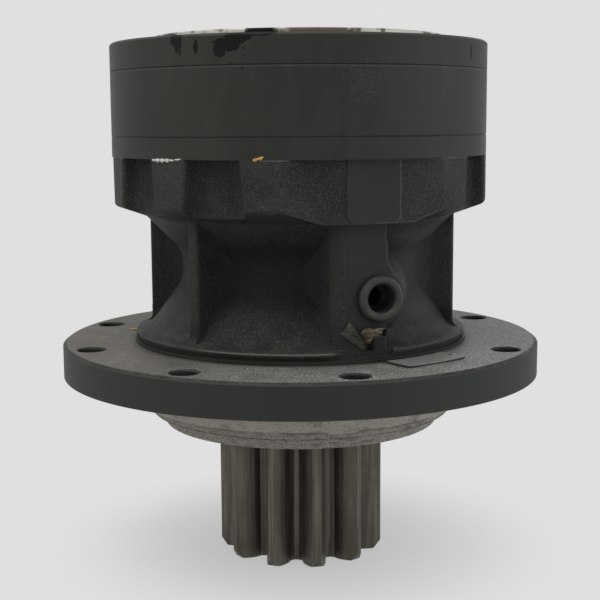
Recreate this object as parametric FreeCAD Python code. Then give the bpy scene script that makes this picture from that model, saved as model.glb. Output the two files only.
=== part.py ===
import FreeCAD, Part
import math
import os

# Swing gearbox: two planetary stages in one bolted stack, driving an output pinion.
# Millimetres. The origin is the centre of the mounting flange's underside, and +Z points at the motor.
# Angles are in degrees about +Z, counted from +X.

# Mounting flange, its irregular bolt circle, and the pilot spigot under it
FLANGE_R = 237.0
FLANGE_T = 32.5
FLANGE_EDGE_R = 3.5
FLANGE_EDGE_Z = 2.5
FLANGE_BOLT_EDGE = 23.0
FLANGE_HOLE_R = 13.0
FLANGE_HOLE_CHAMFER = 1.5
FLANGE_HOLES_CLOSE = 5
FLANGE_HOLES_WIDE = 3
FLANGE_STEP_CLOSE = 40.5
SPIGOT_R = 160.0
SPIGOT_H = 31.6
SPIGOT_CHAMFER = 2.0

# Cast body between the flange and the ring gears: foot, skirt, waist, flare and lobed head
CASING_H = 214.0
SHOULDER_R = 166.0
SHOULDER_H = 3.2
FOOT_R = 164.4
FOOT_GROOVE_R = 161.5
FOOT_GROOVE_H = 3.6
FOOT_EDGE_H = 4.5
FOOT_EDGE_ROUND = 3.0
FOOT_LIP = 13.6
LIP_RISE = 2.2
LIP_ROUND = 24.0
SKIRT_ANGLE = 54.0
WAIST_R = 117.0
WAIST_ROUND = 28.0
FLARE_R = 153.0
FLARE_ANGLE = 45.0
HEAD_H = 57.0
HEAD_SLOPE_H = 11.0
HEAD_ROUND = 5.0
LOBES = 12
LOBE_PHASE = 19.25
LOBE_HALF_ANGLE = 6.0
POCKET_DEPTH = 15.5
POCKET_DRAFT = 1.2
POCKET_ROUND = 10.0
POCKET_TAPER = 0.9
LOBE_EDGE_ROUND = 4.0

# Ribs under every other lobe; one of the six places holds the port pad instead
RIB_R = 153.5
RIB_T = 12.0
RIB_EDGE_ROUND = 2.5
RIB_FLARE_ROUND = 30.0
RIB_FOOT_ROUND = 8.0
PAD_LOBE = 9
PAD_DISTANCE = 160.0
PAD_NECK_LEFT = 27.0
PAD_NECK_RIGHT = 24.0
PAD_LEFT_ROUND = 14.0
PAD_EDGE_ROUND = 3.0
PAD_FLARE_LEFT = 26.0
PAD_FLARE_RIGHT = 14.0
PAD_CORNER_RISE = 34.0
PAD_CORNER_ROUND = 12.0
PAD_FOOT_HALF = 29.0
PAD_FOOT_ROUND = 4.0
PAD_HEAD_DEPTH = 8.5
PAD_HEAD_LEFT = 21.5
PAD_HEAD_RIGHT = 29.0
PAD_HEAD_FLAT = 43.5
PAD_HEAD_RISE = 1.2
PAD_HEAD_ROUND = 8.0
PORT_OFFSET = 16.0
PORT_Z = 89.8
PORT_BOSS_R = 25.5
PORT_BOSS_BASE_R = 47.0
PORT_BOSS_EDGE = 3.0

# Port adapter screwed into the pad on a sealing washer
ADAPTER_R = 21.0
ADAPTER_COLLAR = 5.5
ADAPTER_COLLAR_ROUND = 3.4
ADAPTER_MOUTH = 2.0
ADAPTER_THREAD_R = 16.0
ADAPTER_THREAD_L = 20.0
ADAPTER_BORE_R = 13.2
ADAPTER_BORE_L = 22.0
ADAPTER_OIL_R = 9.5
PORT_WASHER_R = 18.5
PORT_WASHER_T = 1.6

# Ring gear stack: second stage below, first stage on top, with the motor pilot raised on it
RING_WALL = 50.25
RING_EDGE = 2.0
RING2_H = 80.3
RING2_PLAIN_H = 19.5
RING1_H = 27.0
WITNESS_GROOVE = 0.8
PILOT_R = 142.0
PILOT_H = 6.5
PILOT_CHAMFER = 1.0
BOLT_CIRCLE_RISE = 26.25
RING_BOLT_R = 8.0
RING_BOLT_HEAD_R = 12.0
RING_BOLT_HEAD_H = 16.0
RING_BOLT_SOCKET = 14.0
RING_BOLT_SINK = 1.5
RING_BOLT_GRIP = 39.0
RING_HOLE_GAP = 0.75
HEAD_POCKET_GAP = 1.0
MOTOR_HOLES = 6
MOTOR_HOLE_R = 7.0
MOTOR_HOLE_DEPTH = 22.0
DOWEL_R = 6.0
DOWEL_BITE = 14.0

# Gears: second stage turns the pinion, first stage takes the motor's shaft
PRESSURE_ANGLE = 20.0
MODULE2 = 5.0
RING2_TEETH = 51
SUN2_TEETH = 15
MODULE1 = 4.0
RING1_TEETH = 63
SUN1_TEETH = 15
PLANETS = 3
PLANET2_START = 90.0
PLANET1_START = 30.0
RING_PHASE = 2.0
TOOTH_THINNING = 0.26
RING_ADDENDUM = 0.85
DEDENDUM = 1.25
FLANK_STEPS = 2
PLANET2_W = 38.0
PLANET1_W = 20.0
PLANET2_LIFT = 2.5
SIDE_GAP = 1.0
SIDE_WASHER_T = 0.8
SIDE_WASHER_W = 9.0

# Planet bearings and pins
PIN2_R = 20.0
PIN1_R = 18.0
BUSH2_T = 7.5
BUSH1_T = 5.5
PIN_CLIP_T = 1.5
PIN_CLIP_GROOVE = 1.5
PIN_CLIP_R = 22.0
PIN_CLIP_LAND = 1.5
PIN_LOCK_R = 4.0
PIN_LOCK_BITE = 10.0

# Carriers
CARRIER2_R = 118.0
CARRIER2_LOWER_T = 26.0
CARRIER2_UPPER_T = 10.0
CARRIER2_HUB_R = 76.0
CARRIER2_WINDOW_GAP = 3.0
CARRIER2_EYE_GAP = 3.5
CARRIER2_NUT_GAP = 2.0
CARRIER1_R = 106.0
CARRIER1_T = 9.6
THRUST_RING_T = 1.6
THRUST_RING_IN_R = 48.0
THRUST_RING_OUT_R = 64.0
THRUST_DISC_T = 1.4
THRUST_DISC_R = 24.0
SUN1_TOP_GAP = 2.5
INPUT_BORE_R = 15.0
INPUT_GROOVES = 10
INPUT_GROOVE_DEPTH = 2.0
INPUT_GROOVE_W = 2.0

# Output pinion and shaft
PINION_TEETH = 11
PINION_MODULE = 12.0
PINION_SHIFT = 0.39
PINION_PHASE = 18.4
PINION_FLANK_STEPS = 5
PINION_ROOT_ROUND = 3.5
PINION_END = 186.0
PINION_TEETH_L = 126.0
PINION_CHAMFER_R = 5.5
PINION_CHAMFER_Z = 9.0
PINION_CENTRE_R = 9.0
PINION_CENTRE_DEPTH = 14.0
COLLAR_R = 80.0
COLLAR_T = 8.0
JOURNAL_R = 70.0
LOWER_SEAT_R = 60.0
SHAFT_RELIEF = 1.0
UPPER_SEAT_R = 55.0
THREAD_R = 52.0
THREAD_RUNOUT = 1.0
SPLINE_TEETH = 24
SPLINE_MODULE = 4.0
SPLINE_ADDENDUM = 0.5
SPLINE_DEDENDUM = 0.6
END_PLATE_R = 58.0
END_PLATE_T = 5.0
END_PLATE_GAP = 1.0
END_SCREWS = 3
END_SCREW_R = 5.0
END_SCREW_HEAD_R = 9.0
END_SCREW_L = 24.0
END_SCREW_CIRCLE_R = 28.0

# Main bearings: tapered rollers back to back, clamped by the nut over a spacer
LOWER_BEARING_OD_R = 107.5
LOWER_BEARING_W = 43.5
LOWER_BEARING_Z = -6.0
UPPER_BEARING_OD_R = 100.0
UPPER_BEARING_W = 41.0
UPPER_BEARING_DEPTH = 55.0
BEARING_TILT = 13.0
ROLLER_SHARE = 0.505
ROLLER_LENGTH_SHARE = 0.68
ROLLERS = 16
RACE_GAP = 0.15
RACE_LIP = 5.0
RACE_LIP_W = 3.2
CAGE_T = 3.0
CAGE_END = 1.5
CAGE_GAP = 0.35
SPACER_WALL = 7.0
NUT_R = 72.0
NUT_T = 11.0
NUT_SLOTS = 4
NUT_SLOT_W = 9.0
NUT_SLOT_DEPTH = 5.0
LOCK_WASHER_T = 2.0
LOCK_TAB_W = 7.0
LOCK_TAB_T = 2.5
LOCK_TAB_H = 8.0
LOCK_TAB_INSET = 1.0
MID_BORE_R = 90.0
TRAIN_BORE_GAP = 2.25
TRAIN_FLOOR_RISE = 5.0

# Seal cover under the spigot, with its seals and the shaft's wear sleeve
COVER_FLANGE_R = 150.0
COVER_FLANGE_T = 7.2
COVER_NOSE_R = 137.0
COVER_NOSE_H = 11.8
COVER_BORE_R = 78.0
OIL_SEAL_R = 90.0
OIL_SEAL_T = 14.0
DUST_SEAL_R = 86.0
DUST_SEAL_T = 9.0
SLEEVE_R = 75.0
COVER_SCREWS = 8
COVER_SCREW_CIRCLE_R = 122.0
COVER_SCREW_R = 5.0
COVER_SCREW_HEAD_R = 8.0
COVER_SCREW_HEAD_H = 10.0
COVER_SCREW_SOCKET = 8.0
COVER_SCREW_SINK = 1.0
COVER_SCREW_BITE = 20.0

# Flat squashed O-rings in face grooves
STACK_SEAL_R = 141.0
COVER_SEAL_R = 109.5
FACE_SEAL_W = 4.0
FACE_SEAL_T = 2.6

# Clearances
SEAT_GAP = 0.03
RUN_GAP = 0.1
SEAL_GAP = 0.15
FACE_GAP = 0.1
END_GAP = 0.25

# Derived radii
RING2_ROOT_R = MODULE2 * (RING2_TEETH / 2 + DEDENDUM)
RING_R = RING2_ROOT_R + RING_WALL
BOLT_CIRCLE_R = RING2_ROOT_R + BOLT_CIRCLE_RISE
TRAIN_BORE_R = RING2_ROOT_R + TRAIN_BORE_GAP
FLANGE_BOLT_R = FLANGE_R - FLANGE_BOLT_EDGE

# Derived heights
FOOT_Z = FLANGE_T + SHOULDER_H + FOOT_GROOVE_H
FOOT_TOP = FOOT_Z + FOOT_EDGE_H
FLARE_BASE_Z = CASING_H - HEAD_H
HEAD_EDGE_Z = FLARE_BASE_Z + HEAD_SLOPE_H
UPPER_BEARING_Z = CASING_H - UPPER_BEARING_DEPTH - UPPER_BEARING_W
RING1_Z = CASING_H + RING2_H
STACK_TOP = RING1_Z + RING1_H
PLANET2_Z = CASING_H + RING2_PLAIN_H + PLANET2_LIFT
CARRIER2_TOP = PLANET2_Z + PLANET2_W + SIDE_GAP + CARRIER2_UPPER_T
CARRIER2_PLATE_Z = PLANET2_Z - SIDE_GAP - CARRIER2_LOWER_T
CARRIER1_Z = CARRIER2_TOP + THRUST_RING_T + END_GAP
CARRIER1_TOP = CARRIER1_Z + CARRIER1_T
PLANET1_Z = CARRIER1_TOP + SIDE_GAP
UPPER_BEARING_TOP = UPPER_BEARING_Z + UPPER_BEARING_W
LOWER_BEARING_TOP = LOWER_BEARING_Z + LOWER_BEARING_W
NUT_Z = UPPER_BEARING_TOP + LOCK_WASHER_T
HUB2_Z = NUT_Z + NUT_T + CARRIER2_NUT_GAP
SHAFT_TOP = PLANET2_Z - SIDE_GAP - END_PLATE_T - THRUST_DISC_T - END_GAP
PINION_BACK_Z = PINION_TEETH_L - PINION_END
COLLAR_TOP = PINION_BACK_Z + COLLAR_T
COVER_BOTTOM = -SPIGOT_H - COVER_FLANGE_T - COVER_NOSE_H
BOLT_SEAT_Z = STACK_TOP - RING_BOLT_SINK - RING_BOLT_HEAD_H

# Derived gear sizes
PLANET2_TEETH = (RING2_TEETH - SUN2_TEETH) // 2
PLANET1_TEETH = (RING1_TEETH - SUN1_TEETH) // 2
CENTRES2 = MODULE2 * (SUN2_TEETH + PLANET2_TEETH) / 2
CENTRES1 = MODULE1 * (SUN1_TEETH + PLANET1_TEETH) / 2
PINION_PITCH_R = PINION_TEETH * PINION_MODULE / 2
PINION_TIP_R = PINION_PITCH_R + PINION_MODULE * (1 + PINION_SHIFT)
PINION_ROOT_R = PINION_PITCH_R - PINION_MODULE * (DEDENDUM - PINION_SHIFT)
PAD_ANGLE = LOBE_PHASE + PAD_LOBE * 360.0 / LOBES
PAD_HEAD_DISTANCE = RING_R - PAD_HEAD_DEPTH


def at(radius, angle, z=0.0):
    """Point at a radius and an angle in degrees about the main axis."""
    turn = math.radians(angle)
    return FreeCAD.Vector(radius * math.cos(turn), radius * math.sin(turn), z)


def around(count, start=0.0):
    """Evenly spaced angles of a full circle."""
    return [start + 360.0 * i / count for i in range(count)]


def turned(shape, angle):
    """Copy of a shape turned about the main axis."""
    copy = shape.copy()
    copy.rotate(FreeCAD.Vector(0, 0, 0), FreeCAD.Vector(0, 0, 1), angle)
    return copy


def rounded_corner(corner, before, after):
    """Start, middle and end of the arc that rounds a corner, cut short where an edge has no room."""
    here = FreeCAD.Vector(corner[0], corner[1], 0)
    if len(corner) < 3:
        return here, None, here
    back = FreeCAD.Vector(before[0], before[1], 0) - here
    ahead = FreeCAD.Vector(after[0], after[1], 0) - here
    room = min(back.Length / (len(before) - 1), ahead.Length / (len(after) - 1))
    half = back.getAngle(ahead) / 2
    run = min(corner[2] / math.tan(half), room)
    radius = run * math.tan(half)
    back.normalize()
    ahead.normalize()
    middle = here + (back + ahead).normalize() * (radius / math.sin(half) - radius)
    return here + back * run, middle, here + ahead * run


def rounded_wire(points):
    """Closed wire through (x, y) or (x, y, radius) corners, each radius made as a tangent arc."""
    corners = []
    for i, point in enumerate(points):
        corners.append(rounded_corner(point, points[i - 1], points[(i + 1) % len(points)]))
    edges = []
    for i, (start, middle, end) in enumerate(corners):
        if middle is not None:
            edges.append(Part.Arc(start, middle, end).toShape())
        follow = corners[(i + 1) % len(corners)][0]
        if end.distanceToPoint(follow) > 1e-6:
            edges.append(Part.LineSegment(end, follow).toShape())
    return Part.Wire(edges)


def lathe(points):
    """Solid of revolution about the main axis from (radius, z) corners."""
    wire = rounded_wire(points)
    wire.rotate(FreeCAD.Vector(0, 0, 0), FreeCAD.Vector(1, 0, 0), 90)
    face = Part.Face(wire)
    return face.revolve(FreeCAD.Vector(0, 0, 0), FreeCAD.Vector(0, 0, 1), 360)


def prism(points, z_low, z_high):
    """Straight prism on a rounded outline in the XY plane."""
    face = Part.Face(rounded_wire(points))
    face.translate(FreeCAD.Vector(0, 0, z_low))
    return face.extrude(FreeCAD.Vector(0, 0, z_high - z_low))


def disc(radius, z_low, z_high, centre=None):
    """Upright cylinder between two heights."""
    place = centre or FreeCAD.Vector(0, 0, 0)
    return Part.makeCylinder(radius, z_high - z_low, FreeCAD.Vector(place.x, place.y, z_low))


def ring(inner, outer, z_low, z_high, centre=None):
    """Plain ring between two heights."""
    return disc(outer, z_low, z_high, centre).cut(disc(inner, z_low - 1, z_high + 1, centre))


def involute(angle):
    """Involute function of an angle in radians."""
    return math.tan(angle) - angle


def gear_outline(teeth, module, root_r, tip_r, phase, thinning, shift=0.0, steps=FLANK_STEPS,
                 root_round=0.0, pressure_angle=PRESSURE_ANGLE):
    """Closed wire of an external involute gear with a tooth centred on the phase angle.

    The flanks are chords of the involute, so a gear stays inside its true form.
    A negative thinning gives the tooth spaces of an internal gear.
    """
    pressure = math.radians(pressure_angle)
    pitch_r = teeth * module / 2
    base_r = pitch_r * math.cos(pressure)
    pitch_half = (math.pi / 2 + 2 * shift * math.tan(pressure)) / teeth - thinning / (2 * pitch_r)
    start_r = max(base_r, root_r)
    flank = []
    for i in range(steps + 1):
        radius = start_r + (tip_r - start_r) * i / steps
        roll = involute(math.acos(min(1.0, base_r / radius)))
        flank.append((radius, pitch_half + involute(pressure) - roll))
    if root_r + root_round < start_r:
        flank.insert(0, (root_r + root_round, flank[0][1]))
    if root_round > 0:
        flank.insert(0, (root_r, flank[0][1] + root_round / root_r))
    points = []
    for tooth in around(teeth, phase):
        points += [at(radius, tooth - math.degrees(half)) for radius, half in flank]
        points += [at(radius, tooth + math.degrees(half)) for radius, half in reversed(flank)]
    return Part.makePolygon(points + [points[0]])


def circle_wire(radius):
    """Circle in the XY plane as a wire."""
    return Part.Wire([Part.makeCircle(radius)])


def extruded(wires, z_low, z_high, place=None):
    """Prism on an outer wire with inner wires as holes, moved to its centre."""
    face = Part.makeFace(wires, "Part::FaceMakerBullseye")
    spot = place or FreeCAD.Vector(0, 0, 0)
    face.translate(FreeCAD.Vector(spot.x, spot.y, z_low))
    return face.extrude(FreeCAD.Vector(0, 0, z_high - z_low))


def planet_phase(planet_angle, ring_teeth, planet_teeth):
    """Tooth phase of a planet whose tooth runs into the ring's space at the line of centres."""
    return planet_angle + (RING_PHASE - planet_angle) * ring_teeth / planet_teeth


def sun_phase(planet_angle, ring_teeth, planet_teeth, sun_teeth):
    """Tooth phase of the sun that meshes with the planet at the given angle."""
    lag = planet_phase(planet_angle, ring_teeth, planet_teeth) - planet_angle - 180.0
    lag = lag % (360.0 / planet_teeth)
    return planet_angle - lag * planet_teeth / sun_teeth + 180.0 / sun_teeth


def ring_tooth_wire(teeth, module):
    """Wire of the tooth spaces inside a ring gear."""
    pitch_r = teeth * module / 2
    tip_r = pitch_r - RING_ADDENDUM * module
    root_r = pitch_r + DEDENDUM * module
    return gear_outline(teeth, module, tip_r, root_r, RING_PHASE, -TOOTH_THINNING)


def sun_wire(teeth, module, phase, grow=0.0):
    """Wire of a sun gear; grown, it is the matching tooth form in a coupling bore."""
    pitch_r = teeth * module / 2
    return gear_outline(teeth, module, pitch_r - DEDENDUM * module + grow, pitch_r + module + grow,
                        phase, TOOTH_THINNING - 2 * grow)


def flange_hole_angles():
    """Bolt angles: five close steps round -X, the rest of the circle in wide steps round +X."""
    wide = (360.0 - FLANGE_HOLES_CLOSE * FLANGE_STEP_CLOSE) / FLANGE_HOLES_WIDE
    first = 180.0 - FLANGE_HOLES_CLOSE * FLANGE_STEP_CLOSE / 2
    angles = [first + i * FLANGE_STEP_CLOSE for i in range(FLANGE_HOLES_CLOSE + 1)]
    return angles + [angles[-1] + (i + 1) * wide for i in range(FLANGE_HOLES_WIDE - 1)]


def lip_height(radius):
    """Height of the foot's sloping lip at a radius."""
    return FOOT_TOP + LIP_RISE * (FOOT_R - radius) / FOOT_LIP


def casing_outside():
    """Turned outside of the casting, solid to the axis, before lobes and ribs."""
    lip_r = FOOT_R - FOOT_LIP
    skirt_top = lip_height(lip_r) + (lip_r - WAIST_R) * math.tan(math.radians(SKIRT_ANGLE))
    flare_low = FLARE_BASE_Z - (FLARE_R - WAIST_R) * math.tan(math.radians(FLARE_ANGLE))
    return lathe([
        (0, -SPIGOT_H),
        (SPIGOT_R - SPIGOT_CHAMFER, -SPIGOT_H),
        (SPIGOT_R, SPIGOT_CHAMFER - SPIGOT_H),
        (SPIGOT_R, 0),
        (FLANGE_R, 0),
        (FLANGE_R, FLANGE_T - FLANGE_EDGE_Z),
        (FLANGE_R - FLANGE_EDGE_R, FLANGE_T),
        (SHOULDER_R, FLANGE_T),
        (SHOULDER_R, FLANGE_T + SHOULDER_H),
        (FOOT_GROOVE_R, FLANGE_T + SHOULDER_H),
        (FOOT_GROOVE_R, FOOT_Z),
        (FOOT_R, FOOT_Z),
        (FOOT_R, FOOT_TOP, FOOT_EDGE_ROUND),
        (lip_r, lip_height(lip_r), LIP_ROUND),
        (WAIST_R, skirt_top, WAIST_ROUND),
        (WAIST_R, flare_low, WAIST_ROUND),
        (FLARE_R, FLARE_BASE_Z),
        (RING_R, HEAD_EDGE_Z, HEAD_ROUND),
        (RING_R, CASING_H),
        (0, CASING_H),
    ])


def pocket_outline(half):
    """Outline of a recess with round lobe edges and round inner corners, on the +X side."""
    edge = at(RING_R, half)
    level = edge + at(2 * LOBE_EDGE_ROUND, half + 90.0)
    outer = at(RING_R + POCKET_ROUND, half)
    floor = at(RING_R - POCKET_DEPTH, half - POCKET_DRAFT)
    side = [(outer.x, outer.y), (level.x, level.y), (edge.x, edge.y, LOBE_EDGE_ROUND),
            (floor.x, floor.y, POCKET_ROUND)]
    return rounded_wire(side + [(point[0], -point[1]) + point[2:] for point in reversed(side)])


def head_pocket():
    """Cutter for one recess between two lobes, a little wider at its lower end."""
    half = 180.0 / LOBES - LOBE_HALF_ANGLE
    low = pocket_outline(half + POCKET_TAPER)
    high = pocket_outline(half - POCKET_TAPER)
    low.translate(FreeCAD.Vector(0, 0, FLARE_BASE_Z - HEAD_ROUND))
    high.translate(FreeCAD.Vector(0, 0, CASING_H + 1))
    return Part.makeLoft([low, high], True, True)


def flared_side(half, flare):
    """Corners that lead a rib's side in a cast radius onto the waist, and on into the body."""
    turn = math.atan2(half + flare, math.sqrt((WAIST_R + flare) ** 2 - (half + flare) ** 2))
    touch = at(WAIST_R, math.degrees(turn))
    inside = at(MID_BORE_R, math.degrees(turn))
    corner = ((WAIST_R - half * math.sin(turn)) / math.cos(turn), half, flare)
    return [corner, (touch.x, touch.y), (inside.x, inside.y)]


def web(front, left, right, left_flare, right_flare):
    """Plan outline of a rib on the +X side: its front corners, then both flared sides."""
    right_side = flared_side(right, right_flare)
    left_side = [(point[0], -point[1]) + point[2:] for point in reversed(flared_side(left, left_flare))]
    return front + right_side + left_side


def rib():
    """One rib on the +X side, with a cast radius at its foot."""
    half = RIB_T / 2
    front = [(RIB_R, -half, RIB_EDGE_ROUND), (RIB_R, half, RIB_EDGE_ROUND)]
    plate = prism(web(front, half, half, RIB_FLARE_ROUND, RIB_FLARE_ROUND), FOOT_Z, HEAD_EDGE_Z)
    foot_end = FOOT_R - FOOT_EDGE_ROUND
    foot = Part.Face(rounded_wire([
        (RIB_R - 1, FOOT_Z),
        (foot_end, FOOT_Z),
        (foot_end, lip_height(foot_end)),
        (RIB_R, lip_height(RIB_R), RIB_FOOT_ROUND),
        (RIB_R, lip_height(RIB_R) + 2 * RIB_FOOT_ROUND),
        (RIB_R - 1, lip_height(RIB_R) + 2 * RIB_FOOT_ROUND),
    ])).extrude(FreeCAD.Vector(0, 0, RIB_T - RIB_EDGE_ROUND))
    foot.rotate(FreeCAD.Vector(0, 0, 0), FreeCAD.Vector(1, 0, 0), 90)
    foot.translate(FreeCAD.Vector(0, half - RIB_EDGE_ROUND / 2, 0))
    return plate.fuse(foot)


def port_axis_solid(points):
    """Solid turned about the port's axis, from (radius, distance from the main axis) corners."""
    solid = lathe(points)
    solid.rotate(FreeCAD.Vector(0, 0, 0), FreeCAD.Vector(0, 1, 0), 90)
    solid.translate(FreeCAD.Vector(0, PORT_OFFSET, PORT_Z))
    return turned(solid, PAD_ANGLE)


def pad_front(outline, near, far):
    """Block seen square on to the pad: (sideways, height) corners, between two distances."""
    block = prism([(-point[1], point[0]) + point[2:] for point in outline], near, far)
    block.rotate(FreeCAD.Vector(0, 0, 0), FreeCAD.Vector(0, 1, 0), 90)
    return turned(block, PAD_ANGLE)


def pad_head_edges():
    """Near edges of the lobes on both sides of the pad, where its cast flanks begin."""
    reach = 360.0 / LOBES - LOBE_HALF_ANGLE
    return at(RING_R, -reach), at(RING_R, reach)


def pad_head_cutter():
    """What is cut off the turned head in front of the pad and of its flat flanks."""
    start, end = pad_head_edges()
    plan = prism([
        (start.x, start.y),
        (PAD_HEAD_DISTANCE, -PAD_HEAD_LEFT),
        (PAD_HEAD_DISTANCE, PAD_HEAD_RIGHT),
        (end.x, end.y),
        (RING_R + POCKET_ROUND, end.y),
        (RING_R + POCKET_ROUND, start.y),
    ], FLARE_BASE_Z - HEAD_ROUND, CASING_H + 1)
    return turned(plan, PAD_ANGLE)


def pad_head():
    """Pad on the head: flanks that run out to the next lobes, and a machined face a little proud."""
    start, end = pad_head_edges()
    plan = prism([
        (WAIST_R, start.y),
        (start.x, start.y),
        (PAD_HEAD_DISTANCE, -PAD_HEAD_LEFT),
        (PAD_HEAD_DISTANCE, PAD_HEAD_RIGHT),
        (end.x, end.y),
        (WAIST_R, end.y),
    ], FLARE_BASE_Z, CASING_H)
    front = pad_front([
        (start.y, HEAD_EDGE_Z),
        (-PAD_HEAD_FLAT, FLARE_BASE_Z + 1, PAD_HEAD_ROUND),
        (PAD_HEAD_FLAT, FLARE_BASE_Z + 1, PAD_HEAD_ROUND),
        (end.y, HEAD_EDGE_Z),
        (end.y, CASING_H),
        (start.y, CASING_H),
    ], WAIST_R, RING_R)
    face = pad_front([
        (-PAD_HEAD_LEFT, FLARE_BASE_Z + 1, PAD_HEAD_ROUND),
        (PAD_HEAD_RIGHT, FLARE_BASE_Z + 1, PAD_HEAD_ROUND),
        (PAD_HEAD_RIGHT, CASING_H),
        (-PAD_HEAD_LEFT, CASING_H),
    ], PAD_HEAD_DISTANCE - 1, PAD_HEAD_DISTANCE + PAD_HEAD_RISE)
    return turned(plan, PAD_ANGLE).common(front).fuse(face)


def port_pad():
    """Pad of the oil port: neck from the head down to the foot, and a tapered round boss."""
    front = [(PAD_DISTANCE, -PAD_NECK_LEFT, PAD_LEFT_ROUND), (PAD_DISTANCE, PAD_NECK_RIGHT, PAD_EDGE_ROUND)]
    outline = web(front, PAD_NECK_LEFT, PAD_NECK_RIGHT, PAD_FLARE_LEFT, PAD_FLARE_RIGHT)
    neck = turned(prism(outline, FOOT_Z, FLARE_BASE_Z + 2), PAD_ANGLE)
    boss = port_axis_solid([
        (0, MID_BORE_R),
        (PORT_BOSS_BASE_R, MID_BORE_R),
        (PORT_BOSS_BASE_R, WAIST_R),
        (PORT_BOSS_R, PAD_DISTANCE, PORT_BOSS_EDGE),
        (0, PAD_DISTANCE),
    ])
    corner = pad_front([
        (PORT_OFFSET, PORT_Z),
        (PORT_OFFSET + PORT_BOSS_R, PORT_Z),
        (PAD_NECK_RIGHT, PORT_Z + PAD_CORNER_RISE, PAD_CORNER_ROUND),
        (PAD_NECK_RIGHT, PORT_Z + 2 * PORT_BOSS_R),
        (PORT_OFFSET, PORT_Z + 2 * PORT_BOSS_R),
    ], WAIST_R, PAD_DISTANCE)
    return [neck, boss, corner]


def pad_foot_cutter():
    """Flat milled into the foot's edge in line with the pad."""
    return pad_front([
        (-PAD_FOOT_HALF, FOOT_Z - FOOT_GROOVE_H / 2),
        (PAD_FOOT_HALF, FOOT_Z - FOOT_GROOVE_H / 2),
        (PAD_FOOT_HALF, FOOT_TOP + LIP_RISE, PAD_FOOT_ROUND),
        (-PAD_FOOT_HALF, FOOT_TOP + LIP_RISE, PAD_FOOT_ROUND),
    ], PAD_DISTANCE, FOOT_R + 1)


def casing_inside():
    """Turned cavity: cover register and lower bearing seat, oil space, upper seat, gear space."""
    return lathe([
        (0, -SPIGOT_H - 1),
        (LOWER_BEARING_OD_R + SEAT_GAP, -SPIGOT_H - 1),
        (LOWER_BEARING_OD_R + SEAT_GAP, LOWER_BEARING_TOP),
        (MID_BORE_R, LOWER_BEARING_TOP),
        (MID_BORE_R, UPPER_BEARING_Z),
        (UPPER_BEARING_OD_R + SEAT_GAP, UPPER_BEARING_Z),
        (UPPER_BEARING_OD_R + SEAT_GAP, UPPER_BEARING_TOP),
        (TRAIN_BORE_R, UPPER_BEARING_TOP + TRAIN_FLOOR_RISE),
        (TRAIN_BORE_R, CASING_H + 1),
        (0, CASING_H + 1),
    ])


def seal_groove(inner_r, z_top):
    """Cutter for the groove of a face O-ring, open at its top."""
    return ring(inner_r - SEAT_GAP, inner_r + FACE_SEAL_W + SEAT_GAP, z_top - FACE_SEAL_T, z_top + 1)


def face_o_ring(inner_r, z_top):
    """O-ring pressed flat in its groove by the part above."""
    return ring(inner_r, inner_r + FACE_SEAL_W, z_top - FACE_SEAL_T, z_top)


def casing_holes():
    """Flange holes with chamfered mouths, tapped holes for bolts and screws, dowel and port holes."""
    holes = []
    for angle in flange_hole_angles():
        spot = at(FLANGE_BOLT_R, angle)
        holes.append(disc(FLANGE_HOLE_R, -1, FLANGE_T + 1, spot))
        holes.append(Part.makeCone(FLANGE_HOLE_R, FLANGE_HOLE_R + FLANGE_HOLE_CHAMFER, FLANGE_HOLE_CHAMFER,
                                   FreeCAD.Vector(spot.x, spot.y, FLANGE_T - FLANGE_HOLE_CHAMFER)))
    for angle in around(LOBES, LOBE_PHASE):
        holes.append(disc(RING_BOLT_R + SEAT_GAP, CASING_H - RING_BOLT_GRIP - 1, CASING_H + 1,
                          at(BOLT_CIRCLE_R, angle)))
    for angle in dowel_angles():
        holes.append(disc(DOWEL_R + SEAT_GAP, CASING_H - DOWEL_BITE - 1, CASING_H + 1, at(BOLT_CIRCLE_R, angle)))
    for angle in around(COVER_SCREWS):
        holes.append(disc(COVER_SCREW_R + SEAT_GAP, -SPIGOT_H - 1, COVER_SCREW_BITE - SPIGOT_H + 1,
                          at(COVER_SCREW_CIRCLE_R, angle)))
    holes.append(port_axis_solid([
        (0, MID_BORE_R - ADAPTER_THREAD_R),
        (ADAPTER_OIL_R, MID_BORE_R - ADAPTER_THREAD_R),
        (ADAPTER_OIL_R, PAD_DISTANCE - ADAPTER_THREAD_L - 1),
        (ADAPTER_THREAD_R + SEAT_GAP, PAD_DISTANCE - ADAPTER_THREAD_L - 1),
        (ADAPTER_THREAD_R + SEAT_GAP, PAD_DISTANCE + 1),
        (0, PAD_DISTANCE + 1),
    ]))
    return holes


def casing():
    """The cast and machined casing."""
    pocket = head_pocket()
    pockets = [turned(pocket, angle) for angle in around(LOBES, PAD_ANGLE + 180.0 / LOBES)[1:-1]]
    ribs = [turned(rib(), angle) for angle in around(LOBES // 2, PAD_ANGLE)[1:]]
    body = casing_outside().cut(pockets + [pad_head_cutter(), pad_foot_cutter()])
    body = body.multiFuse(ribs + port_pad() + [pad_head()])
    body = body.cut([casing_inside(), seal_groove(STACK_SEAL_R, CASING_H)] + casing_holes())
    return body.removeSplitter()


def dowel_angles():
    """Two opposite places midway between ring bolts."""
    return around(2, LOBE_PHASE + 180.0 / LOBES + 360.0 / LOBES)


def motor_hole_angles():
    """Tapped holes for the motor, midway between ring bolts and clear of the dowels."""
    return around(MOTOR_HOLES, LOBE_PHASE + 180.0 / LOBES)


def stack_holes(z_low, z_high):
    """Cutters for the ring bolts that pass through a ring of the stack."""
    return [disc(RING_BOLT_R + RING_HOLE_GAP, z_low, z_high, at(BOLT_CIRCLE_R, angle))
            for angle in around(LOBES, LOBE_PHASE)]


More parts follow.
